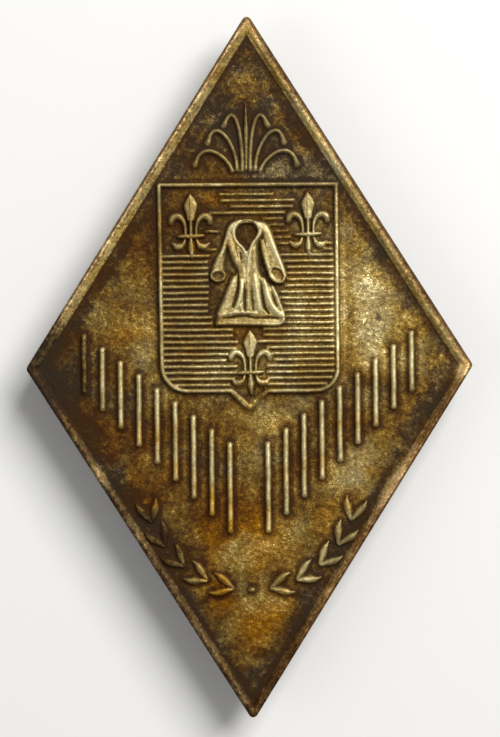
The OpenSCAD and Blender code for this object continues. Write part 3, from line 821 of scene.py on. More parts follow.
# Even points over the robe, over the ground and over the back: their steps, and the cells that keep them clear of
# the points that are there already. The last cell keeps the halos clear of the lines
ROBE_STEP, GROUND_STEP, BACK_STEP = 0.058, 0.20, 0.9
ROBE_CLEAR, GROUND_CLEAR, BACK_CLEAR, HALO_CLEAR = 0.036, 0.11, 0.3, 0.05

# How near the outline the points of the face may come, and how much of the back has points
LEAST_INSET, BACK_SHARE = 0.04, 0.97

# Half width of the field with the robe, and the heights where it starts and ends
ROBE_FIELD = (2.15, 2.1, 7.9)

# Belts of the wall between the rim and the bevel: depth under the shoulder of the rim, then height over the bevel
UPPER_BELTS, LOWER_BELTS = (0.24, 0.50), (0.25, 0.0)

# The rounded bevel of the back: shares of its height and of its width
BEVEL_BELTS = ((0.45, 0.18), (0.12, 0.55), (0.0, 1.0))


def outline_points(shape):
    """The rounded lozenge, anticlockwise from the right-hand corner."""
    r = shape.corner / MM
    tip = math.atan2(shape.wide, shape.tall)
    half_h = shape.tall / MM / 2 + r * (1 / math.sin(tip) - 1)
    half_w = shape.wide / MM / 2 + r * (1 / math.cos(tip) - 1)
    side = half_w * half_h / math.hypot(half_w, half_h)
    lean = math.atan2(half_w, half_h)
    keep = (side - r) / side
    arcs = [
        ((half_w * keep, 0), -lean, lean),
        ((0, half_h * keep), lean, math.pi - lean),
        ((-half_w * keep, 0), math.pi - lean, math.pi + lean),
        ((0, -half_h * keep), math.pi + lean, 2 * math.pi - lean),
    ]
    made = []
    for i, ((x, y), a, b) in enumerate(arcs):
        steps = max(4, int(math.ceil((b - a) * r / CORNER_STEP)))
        t = np.linspace(a, b, steps + 1)
        arc = np.column_stack([x + r * np.cos(t), y + r * np.sin(t)])
        made.append(arc)
        (x2, y2), a2, _ = arcs[(i + 1) % 4]
        start, end = arc[-1], np.array([x2 + r * math.cos(a2), y2 + r * math.sin(a2)])
        n = int(round(np.linalg.norm(end - start) / SIDE_STEP))
        t = np.linspace(0, 1, n + 1)[1:-1, None]
        made.append(start * (1 - t) + end * t)
    return np.vstack(made), side


def rows_beside(drawing):
    """Points in rows along drawn lines, so that the blank's faces follow them, and rows in their halos."""
    mesh = drawing.data

    def read(rows, label, size, kind=float):
        values = np.zeros(len(rows) * size, kind)
        rows.foreach_get(label, values)
        return values.reshape(-1, size)

    place = read(mesh.vertices, "co", 3)[:, :2] / MM
    half = read(mesh.attributes["half"].data, "value", 1)[:, 0] / MM
    ends = read(mesh.edges, "vertices", 2, int)
    a, b = place[ends[:, 0]], place[ends[:, 1]]
    along = b - a
    size = np.linalg.norm(along, axis=1)
    good = size > 1e-6
    a, b, along, size = a[good], b[good], along[good], size[good]
    across = np.column_stack([-along[:, 1], along[:, 0]]) / size[:, None]
    h = ((half[ends[:, 0]] + half[ends[:, 1]]) / 2)[good]
    middle = (a + b) / 2
    signs = (-1, 1)
    lines = [middle] + [middle + across * (h * k * sign)[:, None] for k in LINE_ROWS for sign in signs]
    halos = [
        middle + across * ((h * LINE_ROWS[-1] + gap) * sign)[:, None] for gap in HALO_GAPS for sign in signs
    ]
    # Fans of points round the open ends
    uses = np.bincount(ends.ravel(), minlength=len(place))
    t = np.linspace(0, 2 * math.pi, 10, endpoint=False)
    circle = np.column_stack([np.cos(t), np.sin(t)])
    for v in np.flatnonzero(uses == 1):
        lines += [place[v] + half[v] * k * circle for k in FAN_ROWS]
    return lines, halos


def one_per_cell(points, cell):
    """Drops points that crowd, keeping the earlier ones."""
    key = np.floor(points / cell).astype(np.int64)
    _, first = np.unique(key[:, 0] * 100003 + key[:, 1], return_index=True)
    return points[np.sort(first)]


def clear_of(points, taken, cell):
    """Keeps only the points that have none of the taken ones close by."""

    def keys(p, dx=0, dy=0):
        k = np.floor(p / cell).astype(np.int64)
        return (k[:, 0] + dx) * 100003 + k[:, 1] + dy

    near = np.unique(np.concatenate([keys(taken, i, j) for i in (-1, 0, 1) for j in (-1, 0, 1)]))
    return points[~np.isin(keys(points), near)]


def honeycomb(half_w, half_h, step):
    """Staggered points over the whole field."""
    rows = []
    for i, y in enumerate(np.arange(-half_h, half_h, step * 0.866)):
        x = np.arange(-half_w, half_w, step) + (i % 2) * step / 2
        rows.append(np.column_stack([x, np.full(len(x), y)]))
    return np.vstack(rows)


def filled(outer, inner):
    """Small faces that fill a ring of points: the points, the faces and the point that each of the ring became."""
    n = len(outer)
    flat = [Vector(p) for p in np.vstack([outer, inner])]
    points, _, faces, came, _, _ = delaunay_2d_cdt(flat, [], [list(range(n))], 1, 1e-6)
    return points, faces, {o: i for i, olds in enumerate(came) for o in olds if o < n}


def make_blank(shape, drawings, outline, side):
    """The closed blank: a face cut into small faces along the drawings, walls and a back."""
    wide, tall = shape.wide / MM / 2, shape.tall / MM / 2

    def inside(p, grow):
        return p[np.abs(p[:, 0]) / wide + np.abs(p[:, 1]) / tall < grow]

    def even(step):
        return honeycomb(12, 19, step)

    rim = [outline * ((side - inset) / side) for inset in RIM_ROWS]
    lines, halos = [], []
    for d in drawings:
        a, b = rows_beside(d)
        lines += a
        halos += b
    inner = one_per_cell(np.vstack([*rim, *lines]), LINE_CELL)
    half, low, high = ROBE_FIELD
    robe = honeycomb(2.2, 6, ROBE_STEP) + (0, 1.9)
    robe = robe[(robe[:, 1] > low) & (robe[:, 1] < high) & (np.abs(robe[:, 0]) < half)]
    inner = np.vstack([inner, clear_of(robe, inner, ROBE_CLEAR)])
    inner = np.vstack([inner, one_per_cell(clear_of(np.vstack(halos), inner, HALO_CLEAR), HALO_CELL)])
    ground = clear_of(even(GROUND_STEP), inner, GROUND_CLEAR)
    inner = inside(np.vstack([inner, ground]), (side - LEAST_INSET) / side)
    points, faces, where = filled(outline, inner)
    n = len(outline)
    low = shape.back / MM
    ground_z = low + shape.plate / MM
    shoulder = ground_z + (shape.rim_rise - shape.rim_round) / MM
    bevel = shape.bevel / MM
    verts = [(p.x, p.y, ground_z) for p in points]
    front = len(verts)
    faces = [list(f) for f in faces]
    belt = [where[i] for i in range(n)]
    belts = [(shoulder - depth, 0.0) for depth in UPPER_BELTS]
    belts += [(low + bevel + height, 0.0) for height in LOWER_BELTS]
    belts += [(low + bevel * up, bevel * across) for up, across in BEVEL_BELTS]
    for z, inset in belts:
        first = len(verts)
        verts += [(x, y, z) for x, y in outline * ((side - inset) / side)]
        new = list(range(first, first + n))
        faces += [[new[i], new[(i + 1) % n], belt[(i + 1) % n], belt[i]] for i in range(n)]
        belt = new
    back_ring = outline * ((side - bevel) / side)
    back = inside(clear_of(even(BACK_STEP), back_ring, BACK_CLEAR), BACK_SHARE)
    points, back_faces, where = filled(back_ring, back)
    index = {where[i]: belt[i] for i in range(n)}
    for i, p in enumerate(points):
        if i not in index:
            index[i] = len(verts)
            verts.append((p.x, p.y, low))
    faces += [[index[i] for i in reversed(f)] for f in back_faces]
    mesh = bpy.data.meshes.new("badge_face")
    mesh.from_pydata(np.array(verts) * MM, [], faces)
    mesh.polygons.foreach_set("use_smooth", np.ones(len(mesh.polygons), bool))
    mask = np.zeros(len(verts), np.float32)
    mask[:front] = 1.0
    for label, values in (("front", mask), ("lift", mask * 0), ("crest", mask * 0), ("hollow", mask * 0)):
        mesh.attributes.new(label, "FLOAT", "POINT").data.foreach_set("value", values)
    return placed("badge_face", mesh)


# ---- Drawings made ready ----


def shield_drawing(relief):
    """The shield: its sunk field and its line, with two rounded corners and a point below."""
    d = Drawing("shield_line", relief.grain / MM)
    w, level = relief.shield_line / MM, LEVEL["shield"]
    left = [(-3.12 - 1.30 * math.sin(t), 0.24 - 1.30 * math.cos(t)) for t in np.linspace(0, math.pi / 2, 9)]
    right = [(3.50 + 1.12 * math.sin(t), 0.04 - 1.12 * math.cos(t)) for t in np.linspace(math.pi / 2, 0, 9)]
    corners = [(-4.50, 9.54), (4.62, 9.53), (4.62, 0.04), *right, (0.98, -1.08), (0.05, -1.94), (-0.88, -1.06),
               (-3.12, -1.06), *left]
    corners.append(corners[0])
    made = [smooth_line([a, b], relief.grain / MM)[:-1] for a, b in zip(corners[:-1], corners[1:]) if a != b]
    made = np.vstack(made)
    # The field inside is pressed to the ground, where grime stays
    d.area(made[::6], 0.0, press=1, shoulder=0.3, shine=0.37)
    kept, grown = np.ones(len(made)), np.ones(len(made))
    for x, y, reach, lost, growth in SHIELD_WORN:
        near = np.exp(-(np.hypot(made[:, 0] - x, made[:, 1] - y) / reach) ** 2)
        kept *= 1 - lost * near
        grown += growth * near
    d.loop(made, w * grown, level * kept)
    return d.made(), d.layers


def unit_line(name, end, width, level):
    """A straight line of one millimetre, to be repeated and drawn out."""
    d = Drawing(name, 1.0)
    d.line([(0, 0, width / MM, level), (*end, width / MM, level)], straight=True)
    return d.made()


def drawn_out(unit, tables, relief, repeat, divide):
    """Repeats a straight line at the rows of each table, and divides what comes of it."""
    made = []
    for name, rows in tables.items():
        lines = places(name, rows)
        work(lines, repeat, drawing=unit)
        made.append(work(lines, divide, grain=relief.grain, sway=relief.sway))
    bpy.data.objects.remove(unit)
    return made


def hatch_drawing(relief, repeat, divide):
    """Level lines, each the same short line repeated and drawn out to its length."""
    unit = unit_line("level_line", (1, 0), relief.hatch_line, LEVEL["hatch"])
    top, pitch = relief.hatch_top / MM, relief.hatch_pitch / MM
    rows, faint = [], []
    for first, last, left, right in HATCH_BREAKS:
        for row in range(first, last + 1):
            y = top - row * pitch
            # The lowest lines end at the shield's rounded corners
            drop = max(0.0, -y)
            cut = 1.0 - math.sqrt(max(0.0, 1.0 - drop * drop))
            rows.append((cut - HATCH_LEFT, y, 0, left + HATCH_LEFT - cut, 1))
            rows.append((right, y + 0.03, 0, HATCH_RIGHT - cut - right, 1))
    for row, left, right, kept in HATCH_SHORT:
        (rows if kept > WORN else faint).append((left, top - row * pitch, 0, right - left, 1))
    return drawn_out(unit, {"hatching": rows, "worn_hatching": faint}, relief, repeat, divide)


def lily_drawing(repeat):
    """One lily, repeated at three places."""
    d = Drawing("lily", 0.06)
    level, corners = LILY_PETAL
    d.area(corners, level, shoulder=0.10)
    for mirrored, line in LILY_LINES:
        d.line(line, new=not mirrored)
        if mirrored:
            d.line([(-x, y, w, z) for x, y, w, z in line])
    flower = d.made()
    lilies = places("lilies", [(x, y, 0, 1, 1) for x, y in LILIES])
    work(lilies, repeat, drawing=flower)
    bpy.data.objects.remove(flower)
    return lilies, d.layers


def robe_drawing():
    """Flat cloth first, then the folds and cuffs, then the openings and the grooves between the folds."""
    d = Drawing("robe", 0.06)
    for shine, level, corners in ROBE_CLOTH:
        d.area(corners, level, shoulder=0.25, shine=shine)
    for shine, line in ROBE_FOLDS:
        d.line(line, shine=shine)
    for shine, x, y, a, b, turn, width, level in CUFFS:
        d.loop(ring(x, y, a, b, turn), width, level, shine=shine)
    # The openings and grooves are darkened with grime and painted shade
    for grime_and_shade, floor, corners in ROBE_OPENINGS:
        d.area(corners, floor, press=1, shoulder=0.09, shine=grime_and_shade)
    for grime_and_shade, x, y, a, b, turn, floor in CUFF_HOLES:
        d.area(ring(x, y, a, b, turn), floor, press=1, shoulder=0.09, shine=grime_and_shade)
    for grime_and_shade, line in ROBE_GROOVES:
        d.line(line, press=1, shoulder=0.45, shine=grime_and_shade)
    return d.made(), d.layers


def reed_drawing(relief, repeat, divide):
    """Upright reeds under the shield, stepped to a broad V."""
    unit = unit_line("reed", (0, 1), relief.reed_line, LEVEL["reed"])
    rows = []
    for side in (-1, 1):
        for i in range(relief.reeds):
            x = FIRST_REED + i * relief.reed_step / MM
            top, tall = REED_TOP[0] + REED_TOP[1] * x, REED_TALL[0] + REED_TALL[1] * x
            rows.append((side * x, top - tall, 0, 1, tall))
    return drawn_out(unit, {"reeds": rows}, relief, repeat, divide)[0]


def garland_drawing(repeat):
    """Pairs of leaves along an arc, which meet at a bead."""
    d = Drawing("leaves", 0.06)
    d.line(LEAF, new=False)
    d.line([(x, -y, w, z) for x, y, w, z in LEAF])
    pair = d.made()
    rows = []
    for side in (-1, 1):
        for i in range(1, PAIRS + 1):
            a = side * i * PAIR_TURN
            rows.append((0.1 + GARLAND_ARC * math.sin(a), GARLAND_Y - GARLAND_ARC * math.cos(a), a, side, 1))
    leaves = places("garland", rows)
    work(leaves, repeat, drawing=pair)
    bpy.data.objects.remove(pair)
    bead = Drawing("bead", 0.05)
    bead.line([(0.06, -11.31, 0.36, 0.20), (0.14, -11.31, 0.36, 0.20)])
    return leaves, bead.made()


def frond_drawing(relief):
    """Curled fronds about an upright leaf."""
    d = Drawing("fronds", relief.grain / MM)
    w, level = relief.spray_line / MM, LEVEL["spray"]
    d.line([(0, 10.30, 0.14, level * 0.8), (0, 11.4, 0.26, level), (0, 12.3, 0.36, level * 1.1),
            (0, 13.1, 0.22, level), (0, 13.75, 0.06, level * 0.7)])
    for frond in FRONDS:
        p = np.array(frond)
        t = np.linspace(0, 1, 9)[:, None]
        curve = (1 - t) ** 3 * p[0] + 3 * t * (1 - t) ** 2 * p[1] + 3 * t * t * (1 - t) * p[2] + t**3 * p[3]
        line = np.column_stack([curve, np.full(9, w), np.full(9, level)])
        line[-1, 2] = w * 1.5
        d.line(line, new=False)
        d.line(line * (-1, 1, 1, 1))
    return d.made(), d.layers


# ---- Materials ----

# Stains and rubs. Columns: x, y, half width, half height, turn in degrees, lift of the tone, warmth
STAINS = [
    # rubbed field on the right
    (6.3, 3.1, 1.4, 3.4, 6, 0.26, -0.70),
    (6.0, 3.9, 0.8, 1.2, 0, 0.14, 0.00),
    (6.65, 2.5, 0.22, 0.20, 20, -0.34, -0.50),
    (6.4, 6.2, 0.8, 1.0, 10, -0.10, -0.10),
    (6.0, 1.6, 1.0, 1.2, 0, 0.12, -0.10),
    (7.0, 0.1, 1.9, 0.9, 0, 0.31, 0.00),
    (6.2, -1.8, 1.0, 0.9, 0, 0.23, 0.00),
    (3.9, -4.0, 0.8, 0.8, 0, 0.07, 0.00),
    (8.2, 2.0, 1.1, 1.2, 0, 0.15, 0.10),
    # left field
    (-6.3, 3.0, 1.0, 2.4, -10, 0.06, 0.25),
    (-7.2, 2.0, 1.4, 1.0, -20, 0.06, 0.30),
    (-5.3, 1.4, 0.8, 1.6, 0, 0.12, 0.00),
    (-5.0, 4.8, 0.4, 2.6, 0, -0.10, 0.10),
    (-5.6, 6.6, 1.5, 1.4, -30, -0.24, 0.60),
    (-8.0, 4.6, 0.8, 1.6, -30, -0.16, 0.10),
    (-9.9, 0.2, 1.8, 2.8, 0, -0.34, -0.50),
    (-8.6, -2.2, 1.2, 1.6, 33, -0.18, 0.30),
    (-6.3, -3.8, 1.6, 1.2, 0, -0.10, 0.90),
    (-4.6, -1.8, 1.0, 0.8, 0, 0.17, 0.10),
    (-6.0, 0.2, 0.9, 1.4, 0, 0.07, -0.40),
    (-5.0, -6.4, 2.4, 1.3, 30, -0.08, 0.90),
    (-5.8, -5.2, 0.8, 0.7, 0, -0.10, 0.90),
    (-6.6, -6.6, 0.9, 2.0, 33, -0.16, -0.50),
    # under the shield
    (0.8, -2.7, 1.5, 0.9, 0, 0.18, -0.05),
    (-0.5, -2.2, 0.8, 0.7, 0, 0.14, 0.00),
    (2.4, -2.3, 0.9, 0.8, 0, 0.08, -0.60),
    (1.0, -4.2, 0.8, 1.4, 0, 0.10, -0.10),
    (-0.4, -4.2, 0.8, 1.2, 0, 0.06, 0.10),
    (-4.9, -8.0, 0.6, 1.3, 33, -0.30, -0.20),
    (3.8, -7.9, 0.7, 1.2, -33, 0.16, 1.00),
    (-4.7, -2.9, 5.2, 1.2, -41, -0.08, 0.10),
    (4.9, -2.7, 5.2, 1.0, 41, -0.06, 0.00),
    (4.9, -5.4, 1.7, 1.1, 30, 0.26, -0.40),
    (4.95, -8.75, 0.5, 2.2, -33, -0.15, -0.30),
    (5.9, -6.2, 0.7, 0.9, 33, 0.10, 0.00),
    (6.2, -4.2, 0.8, 0.7, 0, 0.08, -0.20),
    (8.2, -3.8, 0.9, 1.0, 33, -0.08, 0.00),
    (2.6, -6.0, 1.2, 1.2, 0, 0.06, 0.30),
    # the lower field
    (-1.4, -7.2, 2.4, 1.5, 0, -0.06, 1.30),
    (-0.4, -9.2, 3.0, 1.9, 0, 0.10, 0.90),
    (-0.4, -9.5, 1.6, 1.0, 0, 0.10, -0.50),
    (1.9, -8.4, 1.2, 1.0, 0, 0.14, -0.30),
    (-2.0, -8.6, 1.0, 1.6, 0, 0.00, 0.70),
    (2.0, -10.2, 0.8, 0.7, 0, 0.10, -0.20),
    (-2.9, -9.6, 0.8, 0.8, 0, -0.28, -0.30),
    (-4.2, -9.4, 0.9, 1.4, 33, -0.16, -0.30),
    (-1.7, -11.8, 1.1, 1.3, 0, -0.03, 1.00),
    (0.4, -12.4, 1.7, 1.5, 0, 0.16, 0.70),
    (1.8, -12.0, 0.7, 0.8, 0, 0.14, 0.20),
    (0.0, -13.8, 1.2, 1.2, 0, 0.14, 1.20),
    (0.3, -14.7, 0.5, 0.35, 0, -0.20, 0.50),
    (-0.2, -15.3, 0.6, 0.4, 0, 0.12, 0.60),
    (0.2, -16.2, 1.3, 1.0, 0, -0.12, -0.50),
    (2.6, -12.6, 0.7, 1.6, -33, -0.12, -0.40),
    # along the foot of the rim
    (2.63, 12.1, 0.35, 2.4, 32.5, -0.20, 0.20),
    (5.5, 7.6, 0.3, 1.6, 32.5, -0.08, 0.10),
    (-5.13, 8.62, 0.22, 8.5, -32.5, 0.17, 0.10),
    (6.26, -6.81, 0.26, 3.8, -32.5, -0.18, 0.00),
    (-2.1, -13.0, 0.35, 4.0, 32.5, 0.08, 0.20),
    # the upper field
    (0.0, 12.0, 3.0, 2.2, 0, -0.21, -0.85),
    (-2.0, 10.2, 0.9, 0.8, 0, -0.14, 0.00),
    (-3.6, 10.3, 0.8, 0.8, 0, -0.14, -0.40),
    (0.6, 10.1, 1.8, 0.5, 0, 0.09, -0.80),
    (3.4, 10.0, 1.5, 0.9, 0, -0.12, -0.90),
    (-0.2, 14.3, 0.8, 0.7, 0, 0.01, 0.15),
    (0.4, 17.4, 0.9, 0.9, 0, 0.06, 0.10),
    (3.0, 9.4, 2.4, 2.2, 0, 0.00, -0.55),
    # inside the shield
    (0.0, 7.4, 4.4, 1.9, 0, -0.03, 0.00),
    (-3.0, 7.6, 1.2, 1.4, 0, -0.08, 0.10),
    (-2.1, 6.2, 0.5, 0.9, 0, -0.03, 0.60),
    (-1.7, 8.6, 0.8, 0.4, 0, 0.14, 0.90),
    (3.2, 7.0, 1.2, 1.5, 0, 0.18, -0.20),
    (0.6, 8.5, 2.0, 0.7, 0, 0.10, 0.00),
    (3.2, 3.0, 1.5, 3.8, 0, 0.40, 0.10),
    (0.0, 1.3, 3.0, 1.2, 0, 0.10, 0.00),
    (4.6, 3.6, 0.45, 5.6, 0, 0.44, 0.00),
    (0.2, -0.1, 3.2, 1.6, 0, 0.25, -0.10),
    (2.9, -0.5, 1.0, 0.8, 0, -0.10, 0.00),
    (0.1, 5.0, 2.4, 3.4, 0, 0.14, -0.20),
    (-1.9, 3.5, 0.5, 1.5, -15, -0.12, 0.00),
    (1.0, 9.5, 3.5, 0.3, 0, -0.20, 0.00),
    (0.35, 0.5, 0.2, 0.5, 0, -0.20, 0.20),
    # corners
    (11.0, -0.3, 0.5, 0.5, 0, 0.26, 0.10),
    (9.3, -0.6, 1.2, 1.4, 0, -0.03, -0.10),
]

# Tarnish that lies over the relief too. Columns: x, y, half width, half height, turn in degrees, share of the
# shine that is lost
TARNISH = [
    (-8.5, -0.4, 0.5, 2.6, 0, 0.80),
    (-7.5, -2.4, 0.4, 1.2, 0, 0.35),
    (0.30, -1.78, 0.95, 0.34, 43, 0.95),
    (-0.50, -1.66, 0.55, 0.30, -43, 0.30),
    (-4.6, -9.0, 1.5, 3.4, 33, 0.62),
    (-0.4, -0.7, 0.3, 0.3, 0, 0.50),
    (0.5, -1.0, 0.35, 0.2, 20, 0.50),
    (-4.6, 6.0, 0.3, 1.6, 0, 0.35),
    (-3.0, 6.9, 1.1, 1.6, 0, 0.15),
    (-1.3, 4.6, 0.9, 1.6, -20, 0.20),
    (-1.4, 2.8, 0.6, 1.0, -20, 0.10),
    (0.3, 8.4, 2.6, 0.9, 0, 0.45),
    (4.6, 4.0, 0.3, 5.6, 0, 0.48),
    (3.1, 2.8, 1.5, 4.2, 0, 0.58),
    (0.1, -0.3, 1.2, 1.6, 0, 0.20),
    (-1.6, -11.0, 1.3, 0.9, 0, 0.45),
    (1.2, -11.2, 1.0, 0.8, 0, 0.35),
]

# The rim. Columns: side across, side up, tone of the edge, of the crest and of the slope, warmth. Besides tarnish and
# wear, the tones hold painted light: painted reflections on the edges, light on the upper left and dark elsewhere, and
# the upper slopes painted lighter
RIM_SIDES = [
    (-1, 1, 0.55, 0.77, 1.10, -0.1),
    (1, 1, 0.28, 0.48, 1.06, -0.1),
    (1, -1, 0.26, 0.44, 0.79, 0.4),
    (-1, -1, 0.22, 0.21, 0.60, -0.3),
]

# Patches along the rim: how far their middle is inside the edge, and half their width. Columns: side across,
# side up, start and end as distances from the side's upper corner in shares of its length, lift of the tone,
# warmth
PATCH_INSET, PATCH_HALF = 0.27, 0.40
RIM_PATCHES = [
    (-1, 1, 0.88, 1.00, -0.42, -0.2),
    (-1, 1, 0.50, 0.84, 0.12, -0.1),
    (-1, 1, 0.08, 0.17, -0.08, 0.2),
    (-1, 1, 0.00, 0.07, -0.04, 0.1),
    (-1, 1, 0.24, 0.42, -0.07, 0.1),
    (1, 1, 0.00, 0.07, 0.04, 0.1),
    (1, 1, 0.09, 0.22, -0.14, 0.1),
    (1, 1, 0.26, 0.44, 0.10, -0.1),
    (1, 1, 0.44, 0.60, -0.04, 0.0),
    (1, 1, 0.72, 0.82, -0.10, 0.3),
    (1, 1, 0.80, 0.96, -0.08, 0.0),
    (1, -1, 0.00, 0.04, 0.26, 0.0),
    (1, -1, 0.06, 0.18, -0.10, 0.0),
    (1, -1, 0.22, 0.42, 0.30, 0.1),
    (1, -1, 0.30, 0.41, 0.20, -0.1),
    (1, -1, 0.65, 0.71, 0.12, 0.2),
    (1, -1, 0.72, 1.00, -0.38, 0.1),
    (-1, -1, 0.56, 0.82, -0.13, 0.0),
    (-1, -1, 0.90, 1.00, -0.16, 0.0),
    (-1, -1, 0.34, 0.50, 0.03, 0.0),
    (-1, -1, 0.18, 0.28, -0.07, 0.0),
    (-1, -1, 0.29, 0.33, 0.26, 0.3),
    (-1, -1, 0.00, 0.08, -0.16, 0.0),
]


def rim_stains(shape):
    """The patches along the rim, as stains."""
    corner = (shape.wide / 2 / MM, shape.tall / 2 / MM)
    long, lean = math.hypot(*corner), math.atan2(*corner)
    made = []
    for x, y, start, end, lift, warm in RIM_PATCHES:
        down = (start + end) / 2 if y > 0 else 1 - (start + end) / 2
        made.append(
            (x * corner[0] * down - x * PATCH_INSET * math.cos(lean),
             y * corner[1] * (1 - down) - y * PATCH_INSET * math.sin(lean),
             PATCH_HALF, (end - start) / 2 * long + 0.25, math.degrees(lean) * x * y, lift, warm)
        )
    return made


# Tone of plain tarnish before its mottle
PLAIN = 0.34


def new_paint(name):
    """An empty material, and the bench on which it is built."""
    material = bpy.data.materials.new(name)
    material.use_nodes = True
    material.node_tree.nodes.clear()
    return material, Bench(material.node_tree)


def aged_brass(name, finish, shape=None):
    """Brass that is dark in its hollows, mottled on the ground and rubbed bare on the relief. Without a shape, it
    is brass that has only its tarnish."""
    material, b = new_paint(name)
    where = b.add("ShaderNodeTexCoord", {}, {}, "Object") * TO_MM

    def cloud(shift, scale, detail, rough, warp=0.0):
        """Noise from about -1 to 1."""
        return (b.noise(where + (shift, 2.0 * shift, 0.0), scale, detail, rough, warp) - 0.5) * 3.0

    large = cloud(0.0, 0.40, 4.0, 0.55, 0.6)
    middle = cloud(3.1, 1.8, 5.0, 0.74, 0.5)
    small = cloud(9.0, 5.5, 4.0, 0.70)
    fine = cloud(4.0, 13.0, 2.0, 0.6)
    flecks = cloud(23.0, 9.0, 2.0, 0.5).rise(0.35, 0.70)
    pits = cloud(17.0, 7.5, 3.0, 0.6).rise(0.35, 0.70)
    mottle = large * 0.16 + middle * 0.30 + small * 0.39 + fine * 0.14 + flecks * 0.20 - pits * 0.26
    soft, sharp = middle * 0.3, small * 0.05
    height = cloud(1.0, 3.6, 3.0, 0.6) * 0.5 + small * 0.30 + fine * 0.14 - pits * 0.45 + soft
    warmth = cloud(12.0, 0.60, 4.0, 0.65) * 1.4 + soft
    tone = PLAIN + mottle
    if shape:

        def mark(label):
            return b.add("ShaderNodeAttribute", {"attribute_name": label}, {}, "Fac")

        crest, hollow, inset, front = (mark(label) for label in ("crest", "hollow", "inset", "front"))
        crest, hollow = crest * front, hollow * front
        height = height * (1.0 - crest * 0.5)
        across, up = where.part("X"), where.part("Y")
        # Tarnish that lies inside the rim, and grime and painted shade in the hollows
        border = (inset + middle * 0.40 + large * 0.60).rise(1.60, 0.95)
        tone = tone - border * across.rise(1.0, -1.0, 0.14, 0.22) - hollow * 0.36
        warmth = warmth - border * 0.45
        # The rim, side by side: tarnish and wear, with painted reflections on its edge, painted light on its upper
        # slopes and painted shade towards its foot
        wide = inset / side_width(across, up)
        on_rim = (wide + middle * 0.03).rise(0.62, 0.52) * front
        on_crest = (wide + sharp).rise(0.36, 0.22)
        rolled = rolled_side(across, up)
        on_edge = (inset / (rolled * 0.6 + 1.0) + small * 0.02).rise(0.15, 0.07)
        rim_tone, rim_warmth = 0.0, 0.0
        for x, y, outer, high, low, warm in RIM_SIDES:
            this = (across * x).rise(-0.5, 0.5) * (up * y).rise(-0.5, 0.5)
            rim_tone = rim_tone + this * (low + on_crest * (high - low) + on_edge * (outer - high))
            rim_warmth = rim_warmth + this * warm
        rim_tone = rim_tone + mottle * (1.05 - rolled * 0.45) + middle * 0.12
        # Painted shade: the slope darkens towards the foot of the rim, and more in its hollows
        rim_tone = rim_tone - hollow * 0.20 - wide.rise(0.38, 0.60) * 0.30
        tone = tone + (rim_tone - tone) * on_rim
        warmth = warmth + (rim_warmth - warmth * 0.6) * on_rim
        fray = middle * 0.22 + small * 0.08
        turned = {0: where}

        def place(x, y, a, c, turn):
            """Is 1 inside a frayed oval."""
            cos, sin = math.cos(math.radians(turn)), math.sin(math.radians(turn))
            if turn not in turned:
                turned[turn] = b.add(
                    "ShaderNodeCombineXYZ", {}, {"X": where.dot((cos, sin, 0.0)), "Y": where.dot((-sin, cos, 0.0))}
                )
            local = b.add(
                "ShaderNodeVectorMath",
                {"operation": "MULTIPLY_ADD"},
                {
                    0: turned[turn],
                    1: (1 / a, 1 / c, 0.0),
                    2: (-(x * cos + y * sin) / a, -(y * cos - x * sin) / c, 0.0),
                },
            )
            return (local.length() + fray).rise(1.30, 0.35)

        for *oval, dulled in TARNISH:
            crest = crest * (1.0 - place(*oval) * dulled)
        for *oval, lift, warm in [*STAINS, *rim_stains(shape)]:
            stain = place(*oval)
            tone = tone + stain * lift
            warmth = warmth + stain * warm
        # Scratches on the rubbed field at the right
        rubbed = ((where - (6.2, 3.4, 0.0)) * (0.5, 0.27, 0.0)).length().rise(1.1, 0.5)
        for turn, stretch in ((35, 9.0), (-12, 11.0), (70, 10.0)):
            drawn = b.add(
                "ShaderNodeMapping",
                {"vector_type": "TEXTURE"},
                {"Vector": where, "Rotation": (0.0, 0.0, math.radians(turn)), "Scale": (1.0, 1.0 / stretch, 1.0)},
            )
            tone = tone + rubbed * (b.noise(drawn, 0.9, 2.0, 0.5) - 0.5) * 0.22
        # The walls and the back have plain tarnish
        tone = mottle + PLAIN + (tone - mottle - PLAIN) * front
        warmth = middle * 0.40 + (warmth - middle * 0.40) * front
        # Rubbed places show their grain the most
        tone = tone + tone.rise(0.45, 0.85) * (small * 0.10 + fine * 0.10)
        # Worn metal on the struck lines, and on the robe painted light as well; dark metal on the walls
        bare = tone * 0.25 + 0.74 + middle * 0.06 - mottle * 0.02
        tone = tone + (bare - tone) * crest
        tone = tone - (1.0 - front) * inset.rise(2.5, 0.2, 0.05, 0.24)
    colour_of = b.colours(
        tone, (0.0, finish.grime_and_shade), (0.22, finish.dark), (0.45, finish.brown), (0.66, finish.gold), (0.84, finish.pale),
        (1.0, finish.bright)
    )
    if shape:
        metal = b.colours(
            tone.least(1.0 + on_rim * 0.3) / 1.3,
            (0.0, finish.grime_and_shade), (0.17, finish.metal_dark), (0.51, finish.metal_mid), (0.77, finish.metal_light),
            (1.0, finish.metal_bright)
        )
        colour_of = b.mix(crest.most(on_rim), colour_of, metal)
